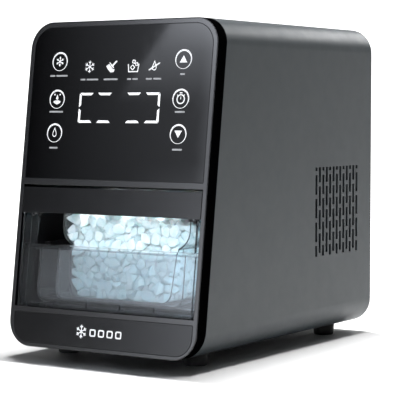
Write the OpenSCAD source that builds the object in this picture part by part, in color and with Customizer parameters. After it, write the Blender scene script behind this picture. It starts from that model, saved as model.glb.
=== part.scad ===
// Countertop nugget ice maker. Millimetres, +Z up, the front faces -Y.
// The origin is on the floor, under the middle of the body's outline.
// Depths named "d" run backwards along Y from the leaning front plane.
// Places named "back" run backwards along Y from the front's lowest edge.

/* [Cabinet] */
// Width of the body
body_w = 230; // [228:1:240]
// Depth of the body at its base
body_d = 364; // [360:1:376]
// Height of the body above its feet
body_h = 330.5; // [329:0.5:340]
// Radius of the body's four long edges
corner_r = 27; // [24:1:29]
// Height of the feet
foot_h = 12; // [10:1:16]
// Backward lean of the front, in degrees
lean = 7.69; // [6.5:0.1:8.5]
// Depth of the front bezel
bezel_d = 16.1; // [14:0.1:18]
// Visible width of the bezel's frame
frame_w = 5.5; // [4.5:0.1:6]
// Thickness of the cabinet wrap
shell_t = 2.4; // [2:0.1:2.6]

/* [Front layout] */
// Underside of the touch glass above the base
glass_low = 170.5; // [169:0.5:172]
// Underside of the divider rail above the base
rail_low = 164.3; // [163:0.1:165]
// Height of the drawer's handle strip
strip_h = 25.7; // [24:0.1:26]
// Height of the finger gap under the strip
finger_gap = 32.7; // [30:0.1:33]
// Top of the lower fascia above the base
fascia_top = 40.1; // [39:0.1:41]

/* [Drawer and basket] */
// Half width of the clear drawer front
window_x = 107.4; // [106:0.1:108]
// Half width of the tub
tub_x = 101; // [99:0.5:102]
// Half width of the basket's cradle
cradle_x = 79; // [77:0.5:80]
// Half width of the basket's upper part
basket_x = 79; // [76:0.5:80]
// Half width of the basket at its floor
basket_low_x = 63.4; // [60:0.2:66]
// Half width of the basket's lower part at its top
basket_mid_x = 68; // [66:0.5:72]
// Depth of the basket's front face behind the front plane
basket_front_d = 31; // [30:0.5:33]

/* [Side grille] */
// Number of slot columns
slot_columns = 13; // [9:2:13]
// Spacing of the slot columns
slot_pitch = 7.67; // [7:0.01:7.7]
// Width of one slot
slot_w = 4.5; // [3.5:0.1:5]
// Length of a full slot
slot_len = 21; // [18:0.5:22]

/* [Ice making] */
// Radius of the auger's flight
auger_r = 20.6; // [19:0.1:20.7]
// Rise of the flight in one turn
auger_pitch = 30; // [24:1:36]
// Module of the drive gears
gear_module = 1.25; // [1.25]
// Teeth on the large gears
wheel_teeth = 44; // [44]
// Teeth on the small gears
pinion_teeth = 14; // [14]

/* [Hidden] */
$fn = 64;

// Cabinet
base_z = foot_h;
top_z = base_z + body_h;
bezel_edge = 1.1;
front_y = -(body_d + bezel_edge * tan(lean)) / 2;
half_w = body_w / 2;
in_half_w = half_w - shell_t;
pan_z = base_z + shell_t + 0.2;
pan_t = 2.6;
foot_x = 79;
foot_r = 12;
foot_back = [57, 320];
foot_bolt_r = 2;
foot_hole_r = 2.2;
rear_in = body_d - 5.8;
rear_out = body_d - 3.2;
wide = 500;

// Front layout, as heights above the floor
glass_x = half_w - frame_w;
glass_z0 = base_z + glass_low;
glass_z1 = top_z - frame_w;
rail_z0 = base_z + rail_low;
opening_x = half_w - 5;
opening_z0 = base_z + fascia_top;
strip_z1 = rail_z0 - 2.8;
strip_z0 = strip_z1 - strip_h;
window_z1 = strip_z0 - finger_gap;
glass_t = 3;
display_x = 2.5;
display_z = base_z + 242;

// Cavity behind the drawer
liner_t = 2;
liner_z0 = opening_z0 - 2.5;
liner_floor = liner_z0 + liner_t;
liner_roof = rail_z0 + 0.5;
liner_back = 190;

// Tub, cradle and basket
tub_z0 = opening_z0 + 2.9;
tub_z1 = tub_z0 + 55;
cradle_z0 = tub_z0 + 2.2;
cradle_z1 = cradle_z0 + 53;
basket_z0 = cradle_z0 + 2.1;
basket_step_z = basket_z0 + 53.3;
basket_z1 = strip_z0 - 1.8;
basket_back = 160;
basket_t = 1.6;

// Drop opening above the basket
drop_x = 22;
drop_w = 60;
drop_back = [120, 172];

// Evaporator and gear train, in plan
evap_x = 22;
evap_back = 230;
wheel_r = gear_module * wheel_teeth / 2;
pinion_r = gear_module * pinion_teeth / 2;
gear_gap = wheel_r + pinion_r;
idler_turn = 192;
motor_turn = 180;
idler_x = evap_x + gear_gap * cos(idler_turn);
idler_back = evap_back + gear_gap * sin(idler_turn);
motor_x = idler_x + gear_gap * cos(motor_turn);
motor_back = idler_back + gear_gap * sin(motor_turn);
case_z0 = pan_z + pan_t + 0.1;
case_z1 = case_z0 + 40;
sleeve_z0 = case_z1 + 12;
sleeve_z1 = sleeve_z0 + 192;
head_z1 = sleeve_z1 + 22;
sleeve_bore = 21;
sleeve_r = 23;
flange_r = 30;
flange_t = 4;
shaft_r = 7;
shaft_low_r = 5;
motor_shaft_r = 3;
idler_axle_r = 3;
running_fit = 0.06;

// Cooling side
comp_x = -54;
comp_back = 306;
fan_back = 283;
fan_z = 145;
grille_z1 = 191;
grille_z0 = 95.3;
grille_back = fan_back;
condenser_x = 99;
condenser_tube_r = 4;
tube_pitch = 13;
drier_x = 30;
drier_back = 338;

// Water side
tank_x = 96;
tank_z0 = pan_z + pan_t + 0.1;
tank_back = [28, 184];
tank_t = 2;
hose_z = tank_z0 + 8;
stem_r = 2;
pump_shaft_r = 1.5;
float_x = -50;
float_back = 60;
pump_x = 78;
pump_back = 212;
drain_x = 66;
tank_drain_x = 90;
drain_z = 40;
gland_x = -88;
gland_z = 46;

function yy(back) = front_y + back;
function face_back(z) = (z - base_z) * tan(lean);

// ---- Helpers ------------------------------------------------------------------------------

// Space between two planes that lean like the front, at depths d0 and d1 behind it.
module slab(d0, d1) {
    translate([0, front_y, base_z])
        rotate([-lean, 0, 0])
            translate([-wide / 2, d0 * cos(lean), -100])
                cube([wide, (d1 - d0) * cos(lean), 600]);
}

// Frame whose origin is on the front plane at height z, with +Z pointing out of the front.
module on_front(x, z, d = 0) {
    translate([x, yy(face_back(z) + d), z])
        rotate([90 - lean, 0, 0])
            children();
}

// Rounded rectangle from corner to corner, with a radius for its top and one for its bottom.
module rounded(x0, x1, z0, z1, r_top, r_low) {
    difference() {
        translate([x0, z0]) square([x1 - x0, z1 - z0]);
        corner_waste(x0, z0, 1, 1, r_low);
        corner_waste(x1, z0, -1, 1, r_low);
        corner_waste(x0, z1, 1, -1, r_top);
        corner_waste(x1, z1, -1, -1, r_top);
    }
}

// What a rounded corner leaves off, for a corner whose inside lies along sx and sz.
module corner_waste(x, z, sx, sz, r) {
    over = 1;
    difference() {
        translate([x - (sx > 0 ? over : r), z - (sz > 0 ? over : r)]) square([r + over, r + over]);
        translate([x + sx * r, z + sz * r]) circle(r = r);
    }
}

// Extrudes an outline drawn in X and Z along Y, between two places behind the front's base.
module along_y(back0, back1) {
    translate([0, yy(back1), 0])
        rotate([90, 0, 0])
            linear_extrude(back1 - back0)
                children();
}

// Extrudes an outline drawn in Y and Z along X.
module along_x(x0, x1) {
    translate([x0, 0, 0])
        rotate([90, 0, 90])
            linear_extrude(x1 - x0)
                children();
}

// The body's outline, moved inwards by "inset".
module body_outline(inset) {
    r = corner_r - inset;
    rounded(-half_w + inset, half_w - inset, base_z + inset, top_z - inset, r, r);
}

module block(x0, x1, back0, back1, z0, z1) {
    translate([x0, yy(back0), z0]) cube([x1 - x0, back1 - back0, z1 - z0]);
}

module post(x, back, z0, z1, r) {
    translate([x, yy(back), z0]) cylinder(r = r, h = z1 - z0);
}

module ring(x, back, z0, z1, r_out, r_in) {
    difference() {
        post(x, back, z0, z1, r_out);
        post(x, back, z0 - 1, z1 + 1, r_in);
    }
}

// Solid of revolution with rounded ends, for a pressed can.
module can(r, h, edge) {
    rotate_extrude()
        union() {
            square([r - edge, h]);
            translate([0, edge]) square([r, h - 2 * edge]);
            intersection() {
                for (z = [edge, h - edge]) translate([r - edge, z]) circle(r = edge);
                square([r, h]);
            }
        }
}

function unit(v) = v / norm(v);
function rim(sides, r) = [for (i = [0:sides - 1]) [r * cos(360 * i / sides), r * sin(360 * i / sides)]];

// Points of a route with each inner corner turned into a curve of "n" steps.
function bend_point(a, b, c, t) = (1 - t) * (1 - t) * a + 2 * t * (1 - t) * b + t * t * c;
function rounded_route(p, n, reach) = [
    p[0],
    for (i = [1:len(p) - 2])
        let (a = p[i] + unit(p[i - 1] - p[i]) * min(reach, norm(p[i - 1] - p[i]) / 2))
        let (c = p[i] + unit(p[i + 1] - p[i]) * min(reach, norm(p[i + 1] - p[i]) / 2))
        for (k = [0:n]) bend_point(a, p[i], c, k / n),
    p[len(p) - 1]
];

// Skin of a tube: rings joined by quads, with flat ends.
module swept(rings) {
    m = len(rings[0]);
    n = len(rings);
    points = [for (r = rings) each r];
    near = [
        for (i = [0:n - 2]) for (k = [0:m - 1])
            [i * m + k, i * m + (k + 1) % m, (i + 1) * m + (k + 1) % m]
    ];
    far = [
        for (i = [0:n - 2]) for (k = [0:m - 1])
            [i * m + k, (i + 1) * m + (k + 1) % m, (i + 1) * m + k]
    ];
    first = [for (k = [m - 1:-1:0]) k];
    last = [for (k = [0:m - 1]) (n - 1) * m + k];
    polyhedron(points = points, faces = concat(near, far, [first, last]), convexity = 10);
}

// A direction square to the route, carried along it so that the tube doesn't twist.
function carried(d, side) = unit(side - d * (side * d));
function route_dir(p, i) = unit(p[min(i + 1, len(p) - 1)] - p[max(i - 1, 0)]);
function sides_along(p, i, side) =
    i >= len(p) ? [] :
    let (s = carried(route_dir(p, i), side))
    concat([s], sides_along(p, i + 1, s));

module tube_route(corners, r, reach = 12, start_side = [0.31, 0.17, 0.93], sides = 8) {
    p = rounded_route(corners, 4, reach);
    s = sides_along(p, 0, start_side);
    swept([
        for (i = [0:len(p) - 1])
            let (d = route_dir(p, i))
            let (u = cross(d, s[i]))
            [for (q = rim(sides, r)) p[i] + s[i] * q[0] + u * q[1]]
    ]);
}

function at(x, back, z) = [x, yy(back), z];

// Involute gear outline, with a little backlash.
function involute(base_r, roll) =
    [base_r * (cos(roll) + roll * PI / 180 * sin(roll)),
     base_r * (sin(roll) - roll * PI / 180 * cos(roll))];
function roll_at(base_r, r) = r <= base_r ? 0 : sqrt(pow(r / base_r, 2) - 1) * 180 / PI;
function polar_angle(p) = atan2(p[1], p[0]);
function turned(p, a) = [p[0] * cos(a) - p[1] * sin(a), p[0] * sin(a) + p[1] * cos(a)];

module gear_outline(teeth, backlash = 0.22) {
    pitch_r = gear_module * teeth / 2;
    base_r = pitch_r * cos(20);
    tip_r = pitch_r + 0.9 * gear_module;
    root_r = pitch_r - 1.2 * gear_module;
    at_pitch = polar_angle(involute(base_r, roll_at(base_r, pitch_r)));
    half = 90 / teeth + at_pitch - backlash / pitch_r * 90 / PI;
    start_r = max(base_r, root_r + 0.01);
    flank = [for (k = [0:4]) involute(base_r, roll_at(base_r, start_r + (tip_r - start_r) * k / 4))];
    tooth = concat(
        [turned([root_r, 0], -half)],
        [for (p = flank) turned(p, -half)],
        [for (k = [4:-1:0]) turned([flank[k][0], -flank[k][1]], half)],
        [turned([root_r, 0], half)]
    );
    polygon([for (i = [0:teeth - 1]) for (p = tooth) turned(p, i * 360 / teeth)]);
}

// ---- Cabinet ------------------------------------------------------------------------------

// Staggered slots of one side grille, cut through the wall at x0 to x1.
module grille_slots(x0, x1) {
    gap = 4.3;
    period = slot_len + gap;
    intersection() {
        block(x0, x1, grille_back - 60, grille_back + 60, grille_z0, grille_z1);
        for (i = [0:slot_columns - 1]) {
            back = grille_back + (i - (slot_columns - 1) / 2) * slot_pitch;
            z_first = grille_z1 - (i % 2 == 0 ? 8.2 : -4.8);
            for (k = [-1:4])
                block(x0, x1, back - slot_w / 2, back + slot_w / 2,
                      z_first - k * period - slot_len, z_first - k * period);
        }
    }
}

module housing_wrap() {
    lip_x = 66;
    color([0.36, 0.38, 0.39])
    union() {
        difference() {
            intersection() {
                along_y(0, body_d) body_outline(0);
                slab(bezel_d + 0.1, 600);
            }
            along_y(-10, body_d + 10) body_outline(shell_t);
            block(-lip_x, lip_x, -10, body_d + 10, base_z - 1, base_z + shell_t + 1);
            grille_slots(in_half_w - 1, half_w + 1);
            grille_slots(-half_w - 1, -in_half_w + 1);
            for (x = [-foot_x, foot_x]) for (b = foot_back)
                post(x, b, base_z - 1, base_z + shell_t + 1, foot_hole_r);
        }
        // Flange that the rear panel is screwed to
        difference() {
            along_y(body_d - 8.2, body_d - 6) body_outline(shell_t - 0.2);
            along_y(body_d - 9, body_d - 5) rounded(-half_w + 12, half_w - 12, pan_z + pan_t + 0.4,
                                                    top_z - 12, 15, 15);
            block(-lip_x - 26, lip_x + 26, body_d - 9, body_d - 5, base_z - 1, pan_z + pan_t + 0.4);
            for (p = rear_screw_places()) along_y_post(p[0], p[1], body_d - 9, body_d - 5, 1.6);
        }
    }
}

// Places of the rear panel's screws, as X and Z.
function rear_screw_places() = [
    for (x = [-half_w + 8.5, half_w - 8.5]) for (z = [base_z + 60, base_z + 170, top_z - 50]) [x, z]
];

module along_y_post(x, z, back0, back1, r) {
    translate([x, yy(back1), z]) rotate([90, 0, 0]) cylinder(r = r, h = back1 - back0);
}

module front_bezel() {
    rounding_steps = 4;
    plug = 2;
    color([0.16, 0.16, 0.17])
    difference() {
        union() {
            // The outer front edge is rounded in fine steps
            for (i = [0:rounding_steps]) {
                turn = 90 * i / rounding_steps;
                intersection() {
                    along_y(-10, 90) body_outline(bezel_edge * (1 - cos(turn)));
                    slab(bezel_edge * (1 - sin(turn)), bezel_d);
                }
            }
            // Collar that plugs into the wrap
            intersection() {
                along_y(-10, 90) body_outline(shell_t + 0.3);
                slab(bezel_d - 1, bezel_d + 7);
            }
        }
        // Seat of the touch glass, and the hollow behind it
        intersection() {
            along_y(-10, 90) rounded(-glass_x - 0.3, glass_x + 0.3, glass_z0 - 0.3, glass_z1 + 0.3,
                                     corner_r - frame_w + 0.3, 1.5);
            slab(-1, glass_t + 0.2);
        }
        intersection() {
            along_y(-10, 90) rounded(-glass_x + 2, glass_x - 2, glass_z0 + 2, glass_z1 - 2,
                                     corner_r - frame_w - 2, 2);
            slab(glass_t + plug, 40);
        }
        // Windows for the display and the lit keys
        intersection() {
            along_y(-10, 90) rounded(display_x - 52, display_x + 52, display_z - 18, display_z + 18, 2, 2);
            slab(0, 20);
        }
        for (p = key_places()) on_front(p[0], p[1], 8) cylinder(r = 8, h = 12);
        // Drawer opening
        block(-opening_x, opening_x, -20, 90, opening_z0, rail_z0);
        // Seat of the fascia, and the hollow behind it
        intersection() {
            along_y(-10, 90) fascia_outline(0.4);
            slab(-1, 2.8);
        }
        intersection() {
            along_y(-10, 90) fascia_outline(-2.5);
            slab(4.8, 40);
        }
        // Opening through the collar, for the liner
        intersection() {
            along_y(-10, 90) rounded(-half_w + shell_t + plug + 0.3, half_w - shell_t - plug - 0.3,
                                     base_z + shell_t + plug + 0.3, top_z - shell_t - plug - 0.3,
                                     corner_r - shell_t - plug - 0.3, corner_r - shell_t - plug - 0.3);
            slab(bezel_d, 40);
        }
        intersection() {
            block(-in_half_w - 0.1, in_half_w + 0.1, -20, 90, liner_z0 - 0.6, liner_roof + liner_t + 0.6);
            slab(bezel_d, 40);
        }
    }
}

// Places of the touch keys, as X and Z: three on each side of the glass.
function key_places() = [
    for (x = [-75.5, 76.5]) for (v = [219, 253.7, 292.5]) [x, base_z + v * cos(lean)]
];

module fascia_outline(grow) {
    rounded(-glass_x - grow, glass_x + grow, base_z + 4.5 - grow, base_z + 34.8 + grow,
            1.5 + max(grow, 0), corner_r - frame_w - 3 + grow);
}

module touch_glass() {
    color([0.03, 0.03, 0.035])
    intersection() {
        along_y(-10, 90) rounded(-glass_x, glass_x, glass_z0, glass_z1, corner_r - frame_w, 1.2);
        slab(0.1, glass_t + 0.1);
    }
}

module lower_fascia() {
    color([0.2, 0.2, 0.21])
    intersection() {
        along_y(-10, 90) fascia_outline(0);
        slab(0, 2.6);
    }
}

module control_board() {
    color([0.1, 0.3, 0.2])
    union() {
        intersection() {
            along_y(-10, 110) rounded(-94, 94, glass_z0 + 12, glass_z1 - 16, 4, 4);
            slab(11.4, 13);
        }
        // Touch controller, driver chips and connectors on the back
        for (p = [[-50, 40, 12, 12], [-10, 36, 18, 8], [36, 40, 10, 10], [70, 30, 8, 16]])
            intersection() {
                block(p[0] - p[2] / 2, p[0] + p[2] / 2, -10, 110,
                      glass_z0 + p[1] - p[3] / 2, glass_z0 + p[1] + p[3] / 2);
                slab(12.9, 16);
            }
    }
}

module display_module() {
    color([0.9, 0.9, 0.9])
    intersection() {
        block(display_x - 51, display_x + 51, -10, 110, display_z - 17, display_z + 17);
        slab(glass_t + 0.4, 11.3);
    }
}

module touch_springs() {
    color([0.75, 0.73, 0.68])
    for (p = key_places())
        on_front(p[0], p[1], 11.2)
            difference() {
                cylinder(r = 6, h = 7.4);
                translate([0, 0, -1]) cylinder(r = 4.6, h = 10);
            }
}

module cavity_liner() {
    inner_x = opening_x;
    color([0.03, 0.03, 0.03])
    difference() {
        intersection() {
            along_y(0, liner_back) rounded(-inner_x - liner_t, inner_x + liner_t, liner_z0,
                                           liner_roof + liner_t, 2, 2);
            slab(bezel_d + 0.4, 600);
        }
        intersection() {
            block(-inner_x, inner_x, -10, liner_back - liner_t, liner_floor, liner_roof);
            slab(bezel_d - 1, 600);
        }
        // Way down for the ice, the lamp's slot and the fill opening in the floor
        block(drop_x - drop_w / 2, drop_x + drop_w / 2, drop_back[0], drop_back[1],
              liner_roof - 1, liner_roof + liner_t + 1);
        block(-42, 42, 62, 76, liner_roof - 1, liner_roof + liner_t + 1);
        block(-40, 40, 60, 130, liner_z0 - 1, liner_floor + 1);
    }
}

module drawer_rails() {
    color([0.85, 0.85, 0.83])
    union() {
        for (x = [-88, 88]) block(x - 4, x + 4, 30, liner_back - 4, liner_floor + 0.05, tub_z0 - 0.3);
        // Keepers over the tub's side flanges
        for (s = [-1, 1]) {
            x0 = min(s * 103, s * (opening_x - 0.1));
            block(x0, x0 + opening_x - 103.1, 56, 84, tub_z1 + 0.5, tub_z1 + 4.5);
        }
    }
}

module cavity_lamp() {
    color([0.95, 0.97, 1])
    union() {
        block(-41.5, 41.5, 62.5, 75.5, liner_roof, liner_roof + 5);
        block(-45, 45, 59, 79, liner_roof + liner_t + 0.3, liner_roof + 9);
    }
}

module base_pan() {
    half = foot_x + 11;
    color([0.3, 0.31, 0.32])
    difference() {
        union() {
            block(-half, half, 24, rear_in, pan_z, pan_z + pan_t);
            // Stiffening walls
            for (b = [185.4, 188.4]) block(-half + 6, half - 6, b, b + 1.5, pan_z, pan_z + 4.4);
        }
        for (x = [-foot_x, foot_x]) for (b = foot_back) post(x, b, pan_z - 1, pan_z + 9, foot_hole_r);
        for (p = grommet_places()) post(p[0], p[1], pan_z - 1, pan_z + 9, 3);
    }
}

module rubber_feet() {
    color([0.04, 0.04, 0.04])
    for (x = [-foot_x, foot_x]) for (b = foot_back)
        translate([x, yy(b), 0])
            difference() {
                rotate_extrude()
                    polygon([[0, 0], [foot_r - 1.6, 0], [foot_r - 0.8, 1], [foot_r, base_z - 0.1],
                             [0, base_z - 0.1]]);
                translate([0, 0, -1]) cylinder(r = 5, h = 6);
                cylinder(r = foot_hole_r, h = base_z + 1);
            }
}

module foot_screws() {
    color([0.7, 0.7, 0.7])
    for (x = [-foot_x, foot_x]) for (b = foot_back) {
        post(x, b, 2, 4.9, 4);
        post(x, b, 4.8, pan_z + 6, foot_bolt_r);
        ring(x, b, pan_z + pan_t + 0.1, pan_z + pan_t + 3, 3.6, foot_bolt_r);
    }
}

module rear_panel() {
    pocket_w = 20;
    color([0.2, 0.2, 0.21])
    difference() {
        union() {
            along_y(rear_in, rear_out) body_outline(shell_t + 0.3);
            // Pocket round the drain
            block(drain_x - pocket_w - 2, drain_x + pocket_w + 2, body_d - 34, rear_out,
                  drain_z - 18, drain_z + 20);
        }
        block(drain_x - pocket_w, drain_x + pocket_w, body_d - 32, body_d, drain_z - 16, drain_z + 18);
        along_y_post(drain_x, drain_z, body_d - 40, body_d - 30, 6.1);
        along_y_post(gland_x, gland_z, body_d - 8, body_d, 7.1);
        for (p = rear_screw_places()) along_y_post(p[0], p[1], body_d - 8, body_d, 2);
        // Louvres
        for (x = [-60, 0, 60]) for (i = [0:11])
            block(x - 24, x + 24, body_d - 8, body_d, 130 + i * 14, 135 + i * 14);
        // The wrap's lips pass under the panel
        block(-wide, wide, rear_in - 1, body_d, 0, base_z + shell_t + 0.2);
    }
}

module rear_screws() {
    color([0.7, 0.7, 0.7])
    for (p = rear_screw_places())
        difference() {
            union() {
                along_y_post(p[0], p[1], body_d - 3.1, body_d - 1, 3.6);
                along_y_post(p[0], p[1], body_d - 12, body_d - 3, 1.5);
            }
            for (a = [0, 90]) translate([p[0], yy(body_d - 1.6), p[1]]) rotate([0, a, 0])
                translate([-2.2, -0.5, -0.4]) cube([4.4, 3, 0.8]);
        }
}

module cord_gland() {
    color([0.05, 0.05, 0.05])
    difference() {
        union() {
            along_y_post(gland_x, gland_z, body_d - 14, body_d - 3, 7);
            along_y_post(gland_x, gland_z, body_d - 3.1, body_d - 0.6, 10);
            along_y_post(gland_x, gland_z, body_d - 9, body_d - 6, 9);
        }
        along_y_post(gland_x, gland_z, body_d - 15, body_d, 3.6);
    }
}

module vent_screens() {
    color([0.06, 0.06, 0.065])
    for (s = [-1, 1]) {
        x = s > 0 ? in_half_w - 1.3 : -in_half_w + 0.3;
        block(x, x + 1, grille_back - 54, grille_back + 54, grille_z0 - 5, grille_z1 + 5);
    }
}

// ---- Water --------------------------------------------------------------------------------

module water_reservoir() {
    color([0.75, 0.8, 0.85])
    difference() {
        along_y(tank_back[0], tank_back[1])
            rounded(-tank_x, tank_x, tank_z0, liner_z0 - 0.4, 1, 10);
        along_y(tank_back[0] + tank_t, tank_back[1] - tank_t)
            rounded(-tank_x + tank_t, tank_x - tank_t, tank_z0 + tank_t, liner_z0 + 10, 1, 8);
        for (x = [-foot_x, foot_x]) post(x, foot_back[0], tank_z0 - 1, tank_z0 + 3, 5);
        // Outlets to the pump and to the drain
        along_y_post(pump_x, hose_z, tank_back[1] - 5, tank_back[1] + 5, 4.05);
        along_y_post(tank_drain_x, hose_z, tank_back[1] - 5, tank_back[1] + 5, 3);
    }
    // Domes over the nuts of the front feet
    for (x = [-foot_x, foot_x])
        difference() {
            post(x, foot_back[0], tank_z0, tank_z0 + 6, 7);
            post(x, foot_back[0], tank_z0 - 1, tank_z0 + 4, 5);
        }
    // Stem that guides the float
    post(float_x, float_back, tank_z0 + 1.5, liner_z0 - 1, stem_r);
    post(float_x, float_back, tank_z0 + 1.5, tank_z0 + 4, 5);
}

module level_float() {
    color([0.95, 0.95, 0.9])
    ring(float_x, float_back, tank_z0 + 4.2, tank_z0 + 13, 9, stem_r + running_fit);
}

module reservoir_strainer() {
    color([0.2, 0.2, 0.2])
    difference() {
        union() {
            block(-39.5, 39.5, 60.5, 129.5, liner_z0 - 1, liner_floor + 0.2);
            block(-44, 44, 56, 134, liner_floor + 0.05, liner_floor + 1.2);
        }
        for (i = [0:8]) for (k = [0:7])
            post(-36 + 9 * i, 63.5 + 9 * k, liner_z0 - 3, liner_floor + 3, 2.6);
    }
}

module pump_housing() {
    z0 = tank_z0;
    color([0.12, 0.12, 0.13])
    difference() {
        union() {
            post(pump_x, pump_back, z0, z0 + 16, 17);
            post(pump_x, pump_back, z0 + 15.9, z0 + 42, 14);
            along_y_post(pump_x, hose_z, tank_back[1] + 0.3, pump_back, 6);
            block(pump_x + 8, pump_x + 15, pump_back, pump_back + 30, z0 + 4, z0 + 12);
        }
        post(pump_x, pump_back, z0 + 2, z0 + 14, 14);
        post(pump_x, pump_back, z0 + 18, z0 + 40, 11);
        post(pump_x, pump_back, z0 + 1, z0 + 41, pump_shaft_r + running_fit);
        along_y_post(pump_x, hose_z, tank_back[1] - 1, pump_back - 10, 4);
        along_y_post(pump_x + 11.5, hose_z, pump_back, pump_back + 31, 2.5);
    }
}

module pump_impeller() {
    z0 = tank_z0;
    color([0.8, 0.8, 0.78])
    union() {
        post(pump_x, pump_back, z0 + 1.2, z0 + 40.8, pump_shaft_r);
        post(pump_x, pump_back, z0 + 3, z0 + 12.5, 4);
        post(pump_x, pump_back, z0 + 3, z0 + 4.4, 12);
        post(pump_x, pump_back, z0 + 21, z0 + 38, 9);
        for (i = [0:5]) translate([pump_x, yy(pump_back), z0 + 4]) rotate([0, 0, 60 * i])
            translate([3, -0.6, 0]) cube([9, 1.2, 8.5]);
    }
}

module feed_hose() {
    color([0.85, 0.88, 0.9])
    tube_route([at(pump_x + 11.5, pump_back + 30.2, hose_z), at(pump_x + 11.5, 262, hose_z), at(84, 264, 60),
                at(76, 252, 90), at(72, evap_back, 96), at(evap_x + 36.7, evap_back, 96)], 4, 12);
}

module drain_hose() {
    color([0.85, 0.88, 0.9])
    tube_route([at(tank_drain_x, tank_back[1] + 0.1, hose_z), at(tank_drain_x, 192, hose_z),
                at(102, 200, hose_z + 2), at(102, 290, hose_z + 2), at(drain_x, 312, drain_z),
                at(drain_x, body_d - 37, drain_z)], 4, 12);
}

module drain_spigot() {
    color([0.9, 0.9, 0.88])
    difference() {
        union() {
            along_y_post(drain_x, drain_z, body_d - 36.8, body_d - 14, 6);
            along_y_post(drain_x, drain_z, body_d - 31.9, body_d - 29.5, 9);
        }
        along_y_post(drain_x, drain_z, body_d - 40, body_d - 10, 4);
    }
}

module drain_stopper() {
    color([0.05, 0.05, 0.05])
    union() {
        along_y_post(drain_x, drain_z, body_d - 26, body_d - 13.8, 3.94);
        along_y_post(drain_x, drain_z, body_d - 13.9, body_d - 10, 5.4);
        block(drain_x - 4, drain_x + 4, body_d - 10.1, body_d - 3, drain_z - 1.2, drain_z + 1.2);
    }
}

// ---- Ice making ---------------------------------------------------------------------------

module evaporator_sleeve() {
    color([0.75, 0.76, 0.78])
    difference() {
        union() {
            post(evap_x, evap_back, sleeve_z0, sleeve_z1, sleeve_r);
            post(evap_x, evap_back, sleeve_z0, sleeve_z0 + flange_t, flange_r);
            post(evap_x, evap_back, sleeve_z1 - flange_t, sleeve_z1, flange_r);
        }
        post(evap_x, evap_back, sleeve_z0 + 6, sleeve_z1 + 1, sleeve_bore);
        post(evap_x, evap_back, sleeve_z0 - 1, sleeve_z0 + 7, 12.1);
    }
}

// The refrigerant coil: a helix of copper tube round the sleeve.
module evaporator_coil() {
    turns = 15;
    steps = 20;
    coil_r = 26.8;
    rise = (sleeve_z1 - sleeve_z0 - 24) / turns;
    color([0.72, 0.42, 0.28])
    swept([
        for (i = [0:turns * steps])
            let (a = 360 * i / steps)
            let (c = [evap_x + coil_r * cos(a), yy(evap_back) + coil_r * sin(a),
                      sleeve_z0 + 12 + rise * i / steps])
            [for (q = rim(6, 3.2)) c + [q[0] * cos(a), q[0] * sin(a), q[1]]]
    ]);
}

module foam_jacket() {
    color([0.85, 0.84, 0.78])
    ring(evap_x, evap_back, sleeve_z0 + 4.3, sleeve_z1 - 4.3, 36, 30.6);
}

module auger_shaft() {
    color([0.8, 0.8, 0.82])
    union() {
        post(evap_x, evap_back, case_z0 + 3, case_z0 + 28, shaft_low_r);
        post(evap_x, evap_back, case_z0 + 27.9, head_z1 + 3, shaft_r);
    }
}

// Helical flight round the shaft, with a rectangular section.
module auger_flight() {
    z0 = sleeve_z0 + 10;
    z1 = sleeve_z1 - 6;
    steps = 28;
    thick = 3;
    n = floor((z1 - z0 - thick) / auger_pitch * steps);
    color([0.8, 0.8, 0.82])
    swept([
        for (i = [0:n])
            let (a = 360 * i / steps)
            let (z = z0 + auger_pitch * i / steps)
            [for (q = [[6.6, 0], [auger_r, 0.6], [auger_r, thick - 0.6], [6.6, thick]])
                [evap_x + q[0] * cos(a), yy(evap_back) + q[0] * sin(a), z + q[1]]]
    ]);
}

module lower_bearing() {
    color([0.7, 0.55, 0.3])
    union() {
        ring(evap_x, evap_back, case_z1 + 0.2, sleeve_z0 + 6, 12, shaft_r + running_fit);
        ring(evap_x, evap_back, case_z1 + 0.2, sleeve_z0 - 0.1, 20, shaft_r + running_fit);
    }
}

module extrusion_head() {
    ports = 8;
    color([0.75, 0.76, 0.78])
    difference() {
        union() {
            post(evap_x, evap_back, sleeve_z1 + 0.1, sleeve_z1 + 5, flange_r);
            post(evap_x, evap_back, sleeve_z1 + 4.9, head_z1, sleeve_r);
        }
        post(evap_x, evap_back, sleeve_z1 - 1, head_z1 + 1, shaft_r + running_fit);
        for (i = [0:ports - 1])
            translate([evap_x, yy(evap_back), sleeve_z1 - 1]) rotate([0, 0, 360 / ports * i])
                translate([15, 0, 0]) cylinder(r = 4.5, h = 30);
    }
}

module head_cover() {
    z1 = head_z1 + 24;
    color([0.1, 0.1, 0.1])
    difference() {
        post(evap_x, evap_back, sleeve_z1 + 5.2, z1, 34);
        post(evap_x, evap_back, sleeve_z1 + 5, head_z1 - 2, 23.3);
        post(evap_x, evap_back, head_z1 - 2.1, z1 - 2, 32);
        // Mouth towards the chute
        block(evap_x - 26, evap_x + 26, evap_back - 40, evap_back, head_z1 - 1, z1 - 2);
    }
}

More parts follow.
